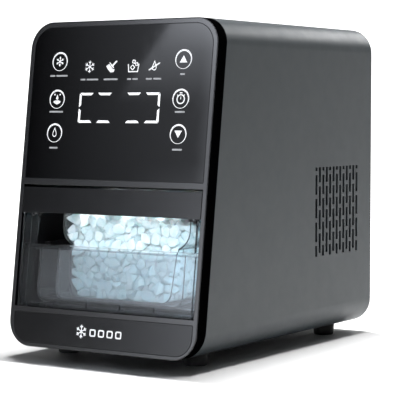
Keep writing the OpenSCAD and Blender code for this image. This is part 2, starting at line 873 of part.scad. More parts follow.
module ice_chute() {
    top = head_z1 + 22;
    low = liner_roof + liner_t + 0.3;
    b0 = drop_back[0];
    b1 = drop_back[1];
    mouth = evap_back - 35;
    color([0.1, 0.1, 0.1])
    difference() {
        along_x(drop_x - drop_w / 2 - 2, drop_x + drop_w / 2 + 2)
            polygon([[yy(b0 - 2), low], [yy(b1 + 2), low], [yy(b1 + 2), low + 18],
                     [yy(mouth), head_z1 - 4], [yy(mouth), top], [yy(mouth - 34), top],
                     [yy(b0 - 2), low + 60]]);
        along_x(drop_x - drop_w / 2, drop_x + drop_w / 2)
            polygon([[yy(b0), low - 1], [yy(b1), low - 1], [yy(b1), low + 18.8],
                     [yy(mouth + 1), head_z1 - 1], [yy(mouth + 1), top - 2], [yy(mouth - 33), top - 2],
                     [yy(b0), low + 59]]);
        // Bearings of the flap's pin
        translate([drop_x - drop_w / 2 - 5, yy(b0 + 7), low + 44]) rotate([0, 90, 0])
            cylinder(r = 1.55, h = drop_w + 10);
    }
}

module ice_full_flap() {
    low = liner_roof + liner_t + 0.3;
    color([0.9, 0.9, 0.9])
    union() {
        translate([drop_x - drop_w / 2 - 1.9, yy(drop_back[0] + 7), low + 44]) rotate([0, 90, 0])
            cylinder(r = 1.5, h = drop_w + 3.8);
        block(drop_x - 24, drop_x + 24, drop_back[0] + 6.2, drop_back[0] + 7.8, low + 6, low + 44);
    }
}

// Plan of the gear case, moved inwards by "inset".
module case_plan(inset) {
    translate([-84 + inset, yy(190.5 + inset)]) square([140 - 2 * inset, 64 - 2 * inset]);
    translate([evap_x, yy(evap_back)]) circle(r = 34 - inset);
}

module gear_case() {
    wall = 2.4;
    color([0.55, 0.56, 0.58])
    union() {
        difference() {
            translate([0, 0, case_z0]) linear_extrude(case_z1 - case_z0) case_plan(0);
            translate([0, 0, case_z0 + wall]) linear_extrude(case_z1 - case_z0 - 2 * wall) case_plan(wall);
            post(evap_x, evap_back, case_z1 - 5, case_z1 + 1, shaft_r + running_fit);
            post(motor_x, motor_back, case_z1 - 5, case_z1 + 1, motor_shaft_r + running_fit);
        }
        ring(evap_x, evap_back, case_z0 + wall - 0.1, case_z0 + 4.6, 7, shaft_low_r + running_fit);
        ring(motor_x, motor_back, case_z0 + wall - 0.1, case_z0 + 4.6, 7, motor_shaft_r + running_fit);
        // Axle of the idler
        post(idler_x, idler_back, case_z0 + wall - 0.1, case_z1 - wall + 0.1, idler_axle_r);
    }
}

module gear_on(x, back, z0, z1, teeth, turn) {
    translate([x, yy(back), z0]) rotate([0, 0, turn]) linear_extrude(z1 - z0) gear_outline(teeth);
}

// Turn that puts a tooth gap of one gear on the line towards another.
function mesh_turn(line, teeth) = line + 180 / teeth;

module output_gear() {
    color([0.93, 0.92, 0.86])
    difference() {
        union() {
            gear_on(evap_x, evap_back, case_z0 + 15, case_z0 + 25, wheel_teeth, idler_turn);
            post(evap_x, evap_back, case_z0 + 14, case_z0 + 27, 11);
        }
        post(evap_x, evap_back, case_z0 + 10, case_z0 + 30, shaft_low_r);
    }
}

module idler_gear() {
    small_turn = mesh_turn(idler_turn + 180, pinion_teeth);
    color([0.93, 0.92, 0.86])
    difference() {
        union() {
            gear_on(idler_x, idler_back, case_z0 + 5, case_z0 + 12, wheel_teeth, motor_turn);
            gear_on(idler_x, idler_back, case_z0 + 11.9, case_z0 + 26, pinion_teeth, small_turn);
        }
        post(idler_x, idler_back, case_z0, case_z0 + 30, idler_axle_r + running_fit);
    }
}

module motor_pinion() {
    color([0.8, 0.8, 0.82])
    difference() {
        gear_on(motor_x, motor_back, case_z0 + 4.8, case_z0 + 12.4, pinion_teeth,
                mesh_turn(motor_turn + 180, pinion_teeth));
        post(motor_x, motor_back, case_z0, case_z0 + 20, motor_shaft_r);
    }
}

module motor_case() {
    color([0.62, 0.63, 0.64])
    difference() {
        post(motor_x, motor_back, case_z1 + 0.1, case_z1 + 70, 28);
        post(motor_x, motor_back, case_z1 + 3, case_z1 + 67, 20);
        post(motor_x, motor_back, case_z1 - 1, case_z1 + 80, motor_shaft_r + running_fit);
    }
}

module motor_rotor() {
    color([0.5, 0.5, 0.52])
    union() {
        post(motor_x, motor_back, case_z0 + 3, case_z1 + 69, motor_shaft_r);
        post(motor_x, motor_back, case_z1 + 8, case_z1 + 62, 18.5);
    }
}

// ---- Cooling ------------------------------------------------------------------------------

function grommet_places() = [
    for (a = [30, 150, 270]) [comp_x + 40 * cos(a), comp_back + 40 * sin(a)]
];

module compressor() {
    z0 = pan_z + pan_t + 9;
    color([0.08, 0.08, 0.09])
    difference() {
        union() {
            translate([comp_x, yy(comp_back), z0 + 3]) can(47, 132, 20);
            post(comp_x, comp_back, z0 + 60, z0 + 68, 49);
            // Mounting feet
            for (p = grommet_places()) post(p[0], p[1], z0, z0 + 5, 9);
            post(comp_x, comp_back, z0 + 1.5, z0 + 6, 34);
        }
        translate([comp_x, yy(comp_back), z0 + 8]) can(43, 122, 17);
        for (p = grommet_places()) post(p[0], p[1], z0 - 1, z0 + 4, 4.1);
    }
}

module compressor_grommets() {
    z0 = pan_z + pan_t;
    color([0.05, 0.05, 0.05])
    for (p = grommet_places()) {
        post(p[0], p[1], z0 + 0.05, z0 + 8.9, 7.5);
        post(p[0], p[1], z0 + 8.8, z0 + 12.5, 4);
        post(p[0], p[1], z0 - pan_t, z0 + 0.1, 2.9);
    }
}

// Places of the condenser's tubes, as Y place and Z.
function tube_places() = [for (i = [-3:3]) [condenser_x, fan_z + tube_pitch * i]];

module condenser_fins() {
    fins = 22;
    color([0.75, 0.76, 0.78])
    difference() {
        for (i = [0:fins - 1])
            block(89.5, 109.5, fan_back - 45 + i * 4.2, fan_back - 44.2 + i * 4.2, fan_z - 46, fan_z + 46);
        for (p = tube_places()) along_y_post(p[0], p[1], fan_back - 50, fan_back + 50, condenser_tube_r);
    }
}

module condenser_tubes() {
    color([0.72, 0.42, 0.28])
    union() {
        for (p = tube_places()) along_y_post(p[0], p[1], fan_back - 48, fan_back + 48, condenser_tube_r);
        // Return bends
        for (i = [0:5]) {
            side = i % 2 == 0 ? 1 : -1;
            p = tube_places()[i];
            translate([p[0], yy(fan_back) + side * 48, p[1] + tube_pitch / 2]) rotate([0, 90, 0])
                rotate([0, 0, side > 0 ? 0 : 180])
                    rotate_extrude(angle = 180) translate([tube_pitch / 2, 0]) circle(r = condenser_tube_r);
        }
    }
}

module fan_shroud() {
    color([0.08, 0.08, 0.08])
    difference() {
        union() {
            block(86.5, 89, fan_back - 47, fan_back + 47, fan_z - 47, fan_z + 47);
            translate([64, yy(fan_back), fan_z]) rotate([0, 90, 0]) cylinder(r = 45, h = 23);
        }
        translate([60, yy(fan_back), fan_z]) rotate([0, 90, 0]) cylinder(r = 43, h = 40);
    }
}

module fan_rotor() {
    blades = 7;
    translate([68, yy(fan_back), fan_z]) rotate([0, 90, 0])
    color([0.1, 0.1, 0.1])
    union() {
        cylinder(r = 13, h = 13);
        translate([0, 0, -16]) cylinder(r = 2, h = 20);
        for (i = [0:blades - 1]) rotate([0, 0, i * 360 / blades])
            translate([11, 0, 6.5]) rotate([32, 0, 0]) translate([0, -8.5, -0.7]) cube([29, 17, 1.4]);
    }
}

module fan_motor() {
    color([0.15, 0.15, 0.16])
    difference() {
        union() {
            translate([50, yy(fan_back), fan_z]) rotate([0, 90, 0]) cylinder(r = 15, h = 16);
            for (a = [0:2]) translate([59, yy(fan_back), fan_z]) rotate([120 * a + 90, 0, 0])
                translate([0, -4, 10]) cube([4.8, 8, 34.5]);
        }
        translate([51, yy(fan_back), fan_z]) rotate([0, 90, 0]) cylinder(r = 2.06, h = 20);
    }
}

module filter_drier() {
    color([0.72, 0.42, 0.28])
    union() {
        translate([drier_x, yy(drier_back), 62]) can(9.5, 96, 8);
        post(drier_x, drier_back, 56, 66, 3.2);
        post(drier_x, drier_back, 154, 164, 2.4);
    }
}

module refrigerant_lines() {
    top = pan_z + pan_t + 144;
    color([0.72, 0.42, 0.28])
    union() {
        // Hot gas from the compressor to the condenser
        tube_route([at(-30, 300, top), at(-30, 300, 205), at(40, 320, 212), at(condenser_x, 340, 206),
                    at(condenser_x, 342, fan_z + 39), at(condenser_x, fan_back + 48.2, fan_z + 39)], 3, 8);
        // Cooled liquid from the condenser to the drier
        tube_route([at(condenser_x, fan_back - 48.3, fan_z - 39), at(condenser_x, 222, fan_z - 39),
                    at(condenser_x, 224, 84), at(100, 308, 76), at(60, 316, 72), at(32, 326, 44),
                    at(drier_x, drier_back, 42), at(drier_x, drier_back, 55.8)], 3, 10);
        // Fine tube from the drier to the coil
        tube_route([at(drier_x, drier_back, 164.2), at(drier_x, drier_back, 178),
                    at(6, 300, 190), at(-6, 258, 120),
                    at(-6, 258, 88), at(evap_x - 20, evap_back + 24, 84.5)], 1.6, 12);
        // Cold gas from the coil back to the compressor
        tube_route([at(evap_x + 6, evap_back + 37, 250), at(10, 276, 258), at(-40, 276, 250),
                    at(-58, 298, 206), at(-78, 306, 184), at(-78, 306, top)], 4, 16);
    }
}

module power_board() {
    color([0.1, 0.35, 0.2])
    union() {
        block(-101, -99.4, 212, 328, 204, 306);
        // Transformer, relays, capacitors and connectors
        block(-99.5, -80, 222, 250, 214, 238);
        for (i = [0:2]) block(-99.5, -84, 262 + 20 * i, 276 + 20 * i, 214, 232);
        for (i = [0:2]) translate([-99.5, yy(232 + 18 * i), 262]) rotate([0, 90, 0]) cylinder(r = 6, h = 18);
        for (i = [0:3]) block(-99.5, -91, 222 + 24 * i, 238 + 24 * i, 288, 298);
    }
}

module board_box() {
    color([0.85, 0.85, 0.83])
    difference() {
        block(-109, -75, 206, 334, 198, 312);
        block(-107, -77, 208, 332, 200, 310);
        for (i = [0:7]) block(-80, -70, 216 + 14 * i, 222 + 14 * i, 206, 280);
        // Way out for the wires
        block(-96, -82, 200, 212, 278, 300);
    }
}

module wire_harness() {
    plug_back = face_back(glass_z0 + 40) + 16.6;
    color([0.15, 0.15, 0.16])
    union() {
        tube_route([at(-89, 211, 293), at(-89, 190, 296), at(-80, 150, 312), at(-60, 110, 300),
                    at(-52, 74, 250), at(-50, plug_back + 14, glass_z0 + 40),
                    at(-50, plug_back, glass_z0 + 40)], 3, 12);
        tube_route([at(-89, 211, 286), at(-89, 198, 284), at(-80, 198, 240), at(-70, 204, 180),
                    at(motor_x, motor_back, case_z1 + 70.3)], 2.4, 14);
    }
}

// ---- Drawer and basket --------------------------------------------------------------------

module drawer_window() {
    wall = 2.8;
    cheek = 2.4;
    front_d = 0.6;
    pocket_d = 23.6;
    color([0.72, 0.8, 0.86, 0.4])
    union() {
        intersection() {
            block(-window_x, window_x, -10, 90, opening_z0 + 0.6, window_z1 - 3);
            slab(front_d, front_d + wall);
        }
        // Rolled rim
        intersection() {
            block(-window_x, window_x, -10, 90, window_z1 - 4, window_z1);
            slab(front_d, front_d + 6.6);
        }
        // Side cheeks, which carry the handle strip
        intersection() {
            union() {
                for (x = [-window_x, window_x - cheek])
                    block(x, x + cheek, -10, 90, opening_z0 + 0.6, strip_z0 - 0.2);
                difference() {
                    for (x = [-window_x, window_x - 12])
                        block(x, x + 12, -10, 90, strip_z0 - 2.6, strip_z0 - 0.2);
                    for (p = drawer_screw_places()) post(p[0], p[1], strip_z0 - 4, strip_z0, 1.35);
                }
            }
            slab(front_d, pocket_d);
        }
        // Floor in front of the tub
        intersection() {
            block(-window_x, window_x, -10, 90, opening_z0 + 0.6, opening_z0 + 2.8);
            slab(front_d, pocket_d);
        }
        // Gussets
        intersection() {
            for (x = [-61.5, -20.5, 20.5, 61.5])
                block(x - 0.7, x + 0.7, -10, 90, opening_z0 + 2.7, opening_z0 + 8);
            slab(front_d + wall - 0.1, 9);
        }
    }
}

// Open bin whose front leans with the cabinet: outer half width, levels, depths, wall and corner.
module leaning_bin(half, z0, z1, front_d, back1, wall, r) {
    difference() {
        intersection() {
            along_y(0, back1) rounded(-half, half, z0, z1, 0.5, r);
            slab(front_d, 600);
        }
        intersection() {
            along_y(0, back1 - wall) rounded(-half + wall, half - wall, z0 + wall, z1 + 20, 0.5, r - wall);
            slab(front_d + wall, 600);
        }
    }
}

module drawer_tub() {
    back1 = 184;
    lip = 5;
    color([0.72, 0.8, 0.86, 0.4])
    union() {
        leaning_bin(tub_x, tub_z0, tub_z1, 24, back1, 2, 12);
        // Side flanges under the keepers
        intersection() {
            union() {
                block(-tub_x - lip, -tub_x + 0.5, 0, back1, tub_z1 - 2.2, tub_z1);
                block(tub_x - 0.5, tub_x + lip, 0, back1, tub_z1 - 2.2, tub_z1);
            }
            slab(24, 600);
        }
        // Skids that ride on the rails
        for (x = [-80.5, 77.5]) block(x, x + 3, 50, back1 - 6, tub_z0 - 2, tub_z0 + 0.5);
    }
}

module basket_cradle() {
    color([0.7, 0.8, 0.9, 0.4])
    leaning_bin(cradle_x, cradle_z0, cradle_z1, 27.6, basket_back + 6, 1.8, 12);
}

module handle_strip() {
    half = opening_x - 0.7;
    color([0.17, 0.17, 0.18])
    difference() {
        intersection() {
            block(-half, half, -10, 90, strip_z0, strip_z1);
            slab(0, 22);
        }
        // Hollow that the fingertips reach into
        intersection() {
            block(-half + 3, half - 3, -10, 90, strip_z0 + 2.8, strip_z1 - 2.8);
            slab(3.6, 30);
        }
        intersection() {
            block(-half + 14, half - 14, -10, 90, strip_z0 - 1, strip_z0 + 3);
            slab(12, 30);
        }
        for (p = drawer_screw_places()) post(p[0], p[1], strip_z0 - 1, strip_z0 + 4, 1.3);
    }
}

// Places of the screws that hold the handle strip, as X and place behind the front.
function drawer_screw_places() = [
    for (x = [-window_x + 7.6, window_x - 7.6]) for (d = [7, 17]) [x, face_back(strip_z0) + d]
];

module drawer_screws() {
    color([0.7, 0.7, 0.7])
    for (p = drawer_screw_places()) {
        post(p[0], p[1], strip_z0 - 4.5, strip_z0 - 2.65, 2.6);
        post(p[0], p[1], strip_z0 - 2.8, strip_z0 + 2.6, 1.25);
    }
}

// Outline of the basket: a lower part with round corners and a wider part above it.
module basket_outline(inset) {
    low_r = 13;
    bowl_r = 20;
    low = basket_low_x - inset;
    mid = basket_mid_x - inset;
    rounded(-low, low, basket_z0 + inset, basket_z0 + 2 * low_r, 0.1, low_r - inset);
    polygon([[-low, basket_z0 + low_r], [low, basket_z0 + low_r],
             [mid, basket_step_z + 12], [-mid, basket_step_z + 12]]);
    rounded(-basket_x + inset, basket_x - inset, basket_step_z + inset, basket_z1 + (inset > 0 ? 20 : 0),
            0.1, bowl_r - inset);
}

module ice_basket() {
    color([0.7, 0.85, 0.95, 0.5])
    difference() {
        intersection() {
            along_y(0, basket_back) basket_outline(0);
            slab(basket_front_d, 600);
        }
        intersection() {
            along_y(0, basket_back - basket_t) basket_outline(basket_t);
            slab(basket_front_d + basket_t, 600);
        }
        // Drain slots in the floor
        for (i = [-4:4]) for (k = [0:2])
            block(11 * i - 1.5, 11 * i + 1.5, 56 + 34 * k, 80 + 34 * k, basket_z0 - 1, basket_z0 + 3);
    }
}

// ---- Assembly -----------------------------------------------------------------------------

housing_wrap();
front_bezel();
touch_glass();
lower_fascia();
control_board();
display_module();
touch_springs();
cavity_liner();
drawer_rails();
cavity_lamp();
water_reservoir();
reservoir_strainer();
level_float();
pump_housing();
pump_impeller();
feed_hose();
drain_hose();
drain_spigot();
drain_stopper();
evaporator_sleeve();
evaporator_coil();
foam_jacket();
auger_shaft();
auger_flight();
lower_bearing();
extrusion_head();
head_cover();
ice_chute();
ice_full_flap();
gear_case();
output_gear();
idler_gear();
motor_pinion();
motor_case();
motor_rotor();
compressor();
compressor_grommets();
condenser_fins();
condenser_tubes();
fan_shroud();
fan_rotor();
fan_motor();
filter_drier();
refrigerant_lines();
power_board();
board_box();
wire_harness();
base_pan();
rubber_feet();
foot_screws();
rear_panel();
rear_screws();
cord_gland();
vent_screens();
drawer_window();
drawer_tub();
basket_cradle();
handle_strip();
drawer_screws();
ice_basket();
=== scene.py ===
import math

import bmesh
import bpy
import numpy as np
from mathutils import Matrix, Vector


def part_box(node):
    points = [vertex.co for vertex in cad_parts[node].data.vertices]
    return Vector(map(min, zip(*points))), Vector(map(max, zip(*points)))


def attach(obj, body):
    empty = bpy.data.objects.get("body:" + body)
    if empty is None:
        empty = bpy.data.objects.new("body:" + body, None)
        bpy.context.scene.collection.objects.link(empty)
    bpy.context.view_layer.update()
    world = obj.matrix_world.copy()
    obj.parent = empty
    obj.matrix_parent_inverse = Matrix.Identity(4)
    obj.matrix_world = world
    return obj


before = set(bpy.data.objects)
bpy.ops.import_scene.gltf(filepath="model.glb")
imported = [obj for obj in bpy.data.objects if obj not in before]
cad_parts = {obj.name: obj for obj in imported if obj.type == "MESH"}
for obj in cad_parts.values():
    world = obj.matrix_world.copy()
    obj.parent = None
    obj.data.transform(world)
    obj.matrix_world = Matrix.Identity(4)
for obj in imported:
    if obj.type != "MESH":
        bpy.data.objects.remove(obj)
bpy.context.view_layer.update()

MM = 0.001

# ---- The front plane ------------------------------------------------------------------------
# Places on the front are given as (u, v): u to the right, v up the slope from the lowest edge.

LEAN = math.radians(7.69)
# The bezel's edge is rounded, so its box stops this far short of the front plane's foot.
FOOT_SETBACK = 0.15 * MM
BASE_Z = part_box("front_bezel")[0].z
FRONT_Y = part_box("front_bezel")[0].y - FOOT_SETBACK
UP_SLOPE = Vector((0, math.sin(LEAN), math.cos(LEAN)))
OUTWARD = Vector((0, -math.cos(LEAN), math.sin(LEAN)))


def front_point(u, v, out=0.0):
    """The point at (u, v) on the front, in metres, raised by out."""
    return Vector((u, FRONT_Y, BASE_Z)) + UP_SLOPE * v + OUTWARD * out


def front_matrix(out=0.0):
    """Takes x to u, y to v and z to the outward direction."""
    right = Vector((1, 0, 0))
    columns = Matrix((right, UP_SLOPE, OUTWARD)).transposed().to_4x4()
    columns.translation = front_point(0, 0, out)
    return columns


# ---- Material building ----------------------------------------------------------------------


class Nodes:
    """A small helper that makes and wires the nodes of one material."""

    def __init__(self, name):
        self.material = bpy.data.materials.new(name)
        self.material.use_nodes = True
        self.tree = self.material.node_tree
        self.tree.nodes.clear()
        self.output = self.add("ShaderNodeOutputMaterial")
        self.coords = self.add("ShaderNodeTexCoord").outputs["Object"]

    def add(self, kind, **values):
        """A new node with some of its settings given."""
        node = self.tree.nodes.new(kind)
        for key, value in values.items():
            setattr(node, key, value)
        return node

    def link(self, source, target):
        self.tree.links.new(source, target)

    def surface(self, kind="ShaderNodeBsdfPrincipled"):
        """The shader that the surface shows."""
        shader = self.add(kind)
        self.link(shader.outputs[0], self.output.inputs["Surface"])
        return shader

    def noise(self, scale, detail, roughness=0.5, stretch=None):
        """Noise over the object, 0 to 1; scale is in steps per metre."""
        node = self.add("ShaderNodeTexNoise")
        node.inputs["Scale"].default_value = scale
        node.inputs["Detail"].default_value = detail
        node.inputs["Roughness"].default_value = roughness
        source = self.coords
        if stretch:
            mapping = self.add("ShaderNodeMapping")
            mapping.inputs["Scale"].default_value = stretch
            self.link(source, mapping.inputs["Vector"])
            source = mapping.outputs["Vector"]
        self.link(source, node.inputs["Vector"])
        return node.outputs["Fac"]

    def spread(self, source, low, high, from_low=0.3, from_high=0.7):
        """Takes from_low to low and from_high to high, evenly between, and is flat past both."""
        node = self.add("ShaderNodeMapRange")
        node.inputs["From Min"].default_value = from_low
        node.inputs["From Max"].default_value = from_high
        node.inputs["To Min"].default_value = low
        node.inputs["To Max"].default_value = high
        self.link(source, node.inputs["Value"])
        return node.outputs["Result"]

    def math(self, operation, a, b):
        node = self.add("ShaderNodeMath", operation=operation)
        for socket, value in zip(node.inputs, (a, b)):
            if isinstance(value, (int, float)):
                socket.default_value = value
            else:
                self.link(value, socket)
        return node.outputs["Value"]

    def dot(self, a, b):
        """The dot product of a socket with another socket or a fixed direction."""
        node = self.add("ShaderNodeVectorMath", operation="DOT_PRODUCT")
        self.link(a, node.inputs[0])
        if isinstance(b, Vector):
            node.inputs[1].default_value = b
        else:
            self.link(b, node.inputs[1])
        return node.outputs["Value"]

    def colour_mix(self, factor, a, b):
        """Colour a where factor is 0 and b where it is 1; each is a socket or three numbers."""
        node = self.add("ShaderNodeMix", data_type="RGBA")
        self.link(factor, node.inputs["Factor"])
        for socket, value in ((node.inputs[6], a), (node.inputs[7], b)):
            if isinstance(value, tuple):
                socket.default_value = (*value, 1)
            else:
                self.link(value, socket)
        return node.outputs[2]

    def bump(self, height, distance, strength, normal=None):
        """The normal with relief as deep as distance, in metres."""
        node = self.add("ShaderNodeBump")
        node.inputs["Distance"].default_value = distance
        node.inputs["Strength"].default_value = strength
        self.link(height, node.inputs["Height"])
        if normal:
            self.link(normal, node.inputs["Normal"])
        return node.outputs["Normal"]

    def soft_edges(self, radius):
        """The normal with edges shaded as if rounded to radius."""
        node = self.add("ShaderNodeBevel", samples=4)
        node.inputs["Radius"].default_value = radius
        return node.outputs["Normal"]


def shade(colour, factor):
    """The colour made lighter or darker by a factor."""
    return tuple(min(1.0, c * factor) for c in colour)


def moulded(name, colour, rough, grain, vary=0.12, rough_vary=0.06, grain_depth=0.02, edge=0.3,
            specular=0.5, metallic=0.0, stretch=None):
    """A solid surface with fine grain, uneven sheen, uneven colour and softened edges.

    Depths and radii are in millimetres."""
    n = Nodes(name)
    shader = n.surface()
    clouds = n.noise(22, 4)
    n.link(n.colour_mix(n.spread(clouds, 0, 1), shade(colour, 1 - vary), shade(colour, 1 + vary)),
           shader.inputs["Base Color"])
    smears = n.noise(60, 5, 0.6, stretch)
    n.link(n.spread(smears, rough - rough_vary, rough + rough_vary), shader.inputs["Roughness"])
    shader.inputs["Metallic"].default_value = metallic
    shader.inputs["Specular IOR Level"].default_value = specular
    fine = n.noise(grain, 2, 0.5, stretch)
    n.link(n.bump(fine, grain_depth * MM, 0.6, n.soft_edges(edge * MM)), shader.inputs["Normal"])
    return n.material


def clear(name, tint, rough=0.03, ior=1.4, haziness=0.03, rim=None):
    """Clear moulded plastic: faint ripples, hazy patches, and lamps shine through it.

    Its edges take the colour rim, painted light and shade that stand in for the light caught along them."""
    lamplight_kept = 0.97
    n = Nodes(name)
    shader = n.add("ShaderNodeBsdfPrincipled")
    shader.inputs["Base Color"].default_value = (*tint, 1)
    # Painted light and shade: the edges are coloured rim instead of tint
    if rim:
        true_normal = n.add("ShaderNodeNewGeometry").outputs["Normal"]
        at_edge = n.spread(n.dot(n.soft_edges(0.9 * MM), true_normal), 1, 0, 0.9, 0.99)
        n.link(n.colour_mix(at_edge, tint, rim), shader.inputs["Base Color"])
    shader.inputs["Transmission Weight"].default_value = 1 - haziness
    shader.inputs["IOR"].default_value = ior
    haze = n.noise(35, 4, 0.6)
    n.link(n.spread(haze, rough * 0.5, rough * 2.2), shader.inputs["Roughness"])
    ripple = n.noise(90, 2)
    n.link(n.bump(ripple, 0.03 * MM, 0.5, n.soft_edges(0.4 * MM)), shader.inputs["Normal"])
    open_shader = n.add("ShaderNodeBsdfTransparent")
    open_shader.inputs["Color"].default_value = (*shade(tint, lamplight_kept), 1)
    path = n.add("ShaderNodeLightPath")
    mix = n.surface("ShaderNodeMixShader")
    n.link(path.outputs["Is Shadow Ray"], mix.inputs["Fac"])
    n.link(shader.outputs["BSDF"], mix.inputs[1])
    n.link(open_shader.outputs["BSDF"], mix.inputs[2])
    return n.material


def bezel_material():
    """Satin dark grey on the leaning face, gloss black round the edge."""
    n = Nodes("bezel")
    shader = n.surface()
    facing = n.dot(n.add("ShaderNodeNewGeometry").outputs["Normal"], OUTWARD)
    on_face = n.spread(facing, 0, 1, 0.9, 0.97)
    dust = n.spread(n.noise(30, 4), 0.85, 1.15)
    face = n.colour_mix(dust, (0.016, 0.016, 0.017), (0.02, 0.02, 0.021))
    n.link(n.colour_mix(on_face, (0.0008, 0.0008, 0.001), face), shader.inputs["Base Color"])
    n.link(n.spread(on_face, 0.1, 0.24, 0, 1), shader.inputs["Roughness"])
    n.link(n.spread(on_face, 0, 0.8, 0, 1), shader.inputs["Specular IOR Level"])
    grain = n.bump(n.noise(1900, 2), 0.015 * MM, 0.5, n.soft_edges(0.5 * MM))
    n.link(grain, shader.inputs["Normal"])
    return n.material


def ice_material():
    """Cloudy nugget ice: white inside, with a wet clear skin."""
    n = Nodes("ice")
    shader = n.surface()
    clouds = n.spread(n.noise(160, 3, 0.6), 0, 1, 0.35, 0.65)
    n.link(n.colour_mix(clouds, (0.72, 0.87, 0.9), (0.9, 0.965, 0.975)), shader.inputs["Base Color"])
    n.link(n.spread(n.noise(300, 3), 0.15, 0.45), shader.inputs["Roughness"])
    shader.inputs["Subsurface Weight"].default_value = 0.35
    shader.inputs["Subsurface Radius"].default_value = (0.7, 0.9, 1.0)
    shader.inputs["Subsurface Scale"].default_value = 4 * MM
    shader.inputs["IOR"].default_value = 1.31
    shader.inputs["Coat Weight"].default_value = 0.3
    shader.inputs["Coat Roughness"].default_value = 0.1
    n.link(n.bump(n.noise(420, 3, 0.6), 0.5 * MM, 0.5), shader.inputs["Normal"])
    return n.material


def lit_material(name, colour, strength):
    """A pale mark that glows, slightly unevenly; on printed marks the glow is painted light."""
    n = Nodes(name)
    shader = n.surface()
    glow = n.colour_mix(n.spread(n.noise(400, 2), 0, 1), shade(colour, 0.93), colour)
    n.link(glow, shader.inputs["Base Color"])
    n.link(glow, shader.inputs["Emission Color"])
    shader.inputs["Emission Strength"].default_value = strength
    n.link(n.spread(n.noise(200, 2), 0.35, 0.5), shader.inputs["Roughness"])
    return n.material


MATERIALS = {
    "wrap": moulded("wrap", (0.0365, 0.0455, 0.0515), 0.42, vary=0.04, rough_vary=0.04, grain=1500,
                    grain_depth=0.03, edge=0.6),
    "glass": moulded("panel_glass", (0.002, 0.002, 0.0025), 0.05, vary=0.1, rough_vary=0.02,
                     grain=300, grain_depth=0.001, edge=0.4),
    "satin": moulded("front_satin", (0.005, 0.005, 0.0055), 0.22, vary=0.08, rough_vary=0.02,
                     grain=1700, grain_depth=0.012, edge=0.4),
    "black": moulded("black_plastic", (0.0025, 0.0025, 0.0027), 0.45, grain=1400, grain_depth=0.04,
                     specular=0.25),
    "charcoal": moulded("charcoal_plastic", (0.012, 0.012, 0.013), 0.5, grain=1200, grain_depth=0.05,
                        specular=0.35),
    "nylon": moulded("nylon", (0.72, 0.72, 0.69), 0.45, vary=0.05, grain=900),
    "rubber": moulded("rubber", (0.012, 0.012, 0.012), 0.75, grain=700, grain_depth=0.08),
    "steel": moulded("steel", (0.6, 0.6, 0.62), 0.28, vary=0.06, rough_vary=0.1, grain=500,
                     grain_depth=0.02, metallic=1.0, stretch=(1, 1, 14)),
    "blackened": moulded("blackened_steel", (0.02, 0.02, 0.021), 0.35, grain=700, metallic=0.6),
    "copper": moulded("copper", (0.75, 0.36, 0.2), 0.3, vary=0.15, rough_vary=0.1, grain=300,
                      grain_depth=0.03, metallic=1.0),
    "cast": moulded("cast_alloy", (0.42, 0.43, 0.44), 0.45, vary=0.1, grain=600, grain_depth=0.12,
                    metallic=1.0),
    "bronze": moulded("bronze", (0.55, 0.38, 0.17), 0.4, grain=900, metallic=1.0),
    "foam": moulded("foam", (0.72, 0.69, 0.6), 0.9, vary=0.1, grain=260, grain_depth=0.5),
    "enamel": moulded("compressor_enamel", (0.008, 0.008, 0.009), 0.2, grain=200, grain_depth=0.05),
    "board": moulded("solder_mask", (0.02, 0.13, 0.07), 0.35, vary=0.15, grain=240, grain_depth=0.05),
    "diffuser": moulded("diffuser", (0.8, 0.82, 0.84), 0.5, vary=0.04, grain=600),
    # The rim colours are painted light and shade along each clear part's edges
    "window": clear("window_clear", (0.96, 0.975, 0.99), ior=1.25, haziness=0.01,
                    rim=(0.25, 0.28, 0.32)),
    "tub": clear("tub_clear", (0.98, 0.99, 1.0), haziness=0.025, rim=(0.08, 0.1, 0.12)),
    "basket": clear("basket_blue", (0.93, 0.97, 0.985), rim=(0.45, 0.52, 0.56)),
    "tank": clear("tank_clear", (0.9, 0.94, 0.96), rough=0.12, ior=1.47, haziness=0.15),
    "bezel": bezel_material(),
    "ice": ice_material(),
    # The printed marks' glow is painted light, standing in for the lamps' light on white print
    "ink": lit_material("printed_ink", (0.85, 0.86, 0.88), 0.75),
    "label": lit_material("label_ink", (0.4, 0.41, 0.43), 0.55),
    "display": lit_material("display_lit", (0.92, 0.93, 0.95), 1.0),
}

NODE_MATERIALS = {
    "wrap": ["housing_wrap"],
    "bezel": ["front_bezel"],
    "glass": ["touch_glass"],
    "satin": ["lower_fascia", "handle_strip"],
    "black": ["cavity_liner", "head_cover", "ice_chute", "fan_shroud", "fan_rotor", "fan_motor",
              "vent_screens", "wire_harness", "pump_housing", "reservoir_strainer"],
    "charcoal": ["rear_panel", "base_pan", "drawer_rails"],
    "nylon": ["level_float", "pump_impeller", "drain_spigot", "ice_full_flap",
              "output_gear", "idler_gear", "board_box"],
    "rubber": ["rubber_feet", "compressor_grommets", "cord_gland", "drain_stopper"],
    "steel": ["evaporator_sleeve", "auger_shaft", "auger_flight", "extrusion_head", "motor_pinion",
              "motor_rotor", "foot_screws", "touch_springs"],
    "blackened": ["rear_screws", "drawer_screws"],
    "copper": ["evaporator_coil", "condenser_tubes", "filter_drier", "refrigerant_lines"],
    "cast": ["gear_case", "motor_case", "condenser_fins"],
    "bronze": ["lower_bearing"],
    "foam": ["foam_jacket"],
    "enamel": ["compressor"],
    "board": ["control_board", "power_board"],
    "diffuser": ["display_module", "cavity_lamp"],
    "window": ["drawer_window"],
    "tub": ["drawer_tub"],
    "basket": ["ice_basket", "basket_cradle"],
    "tank": ["water_reservoir", "feed_hose", "drain_hose"],
}


def paint(obj, key):
    """Finishes an object with one of MATERIALS."""
    obj.data.materials.clear()
    obj.data.materials.append(MATERIALS[key])


for key, names in NODE_MATERIALS.items():
    for name in names:
        paint(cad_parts[name], key)


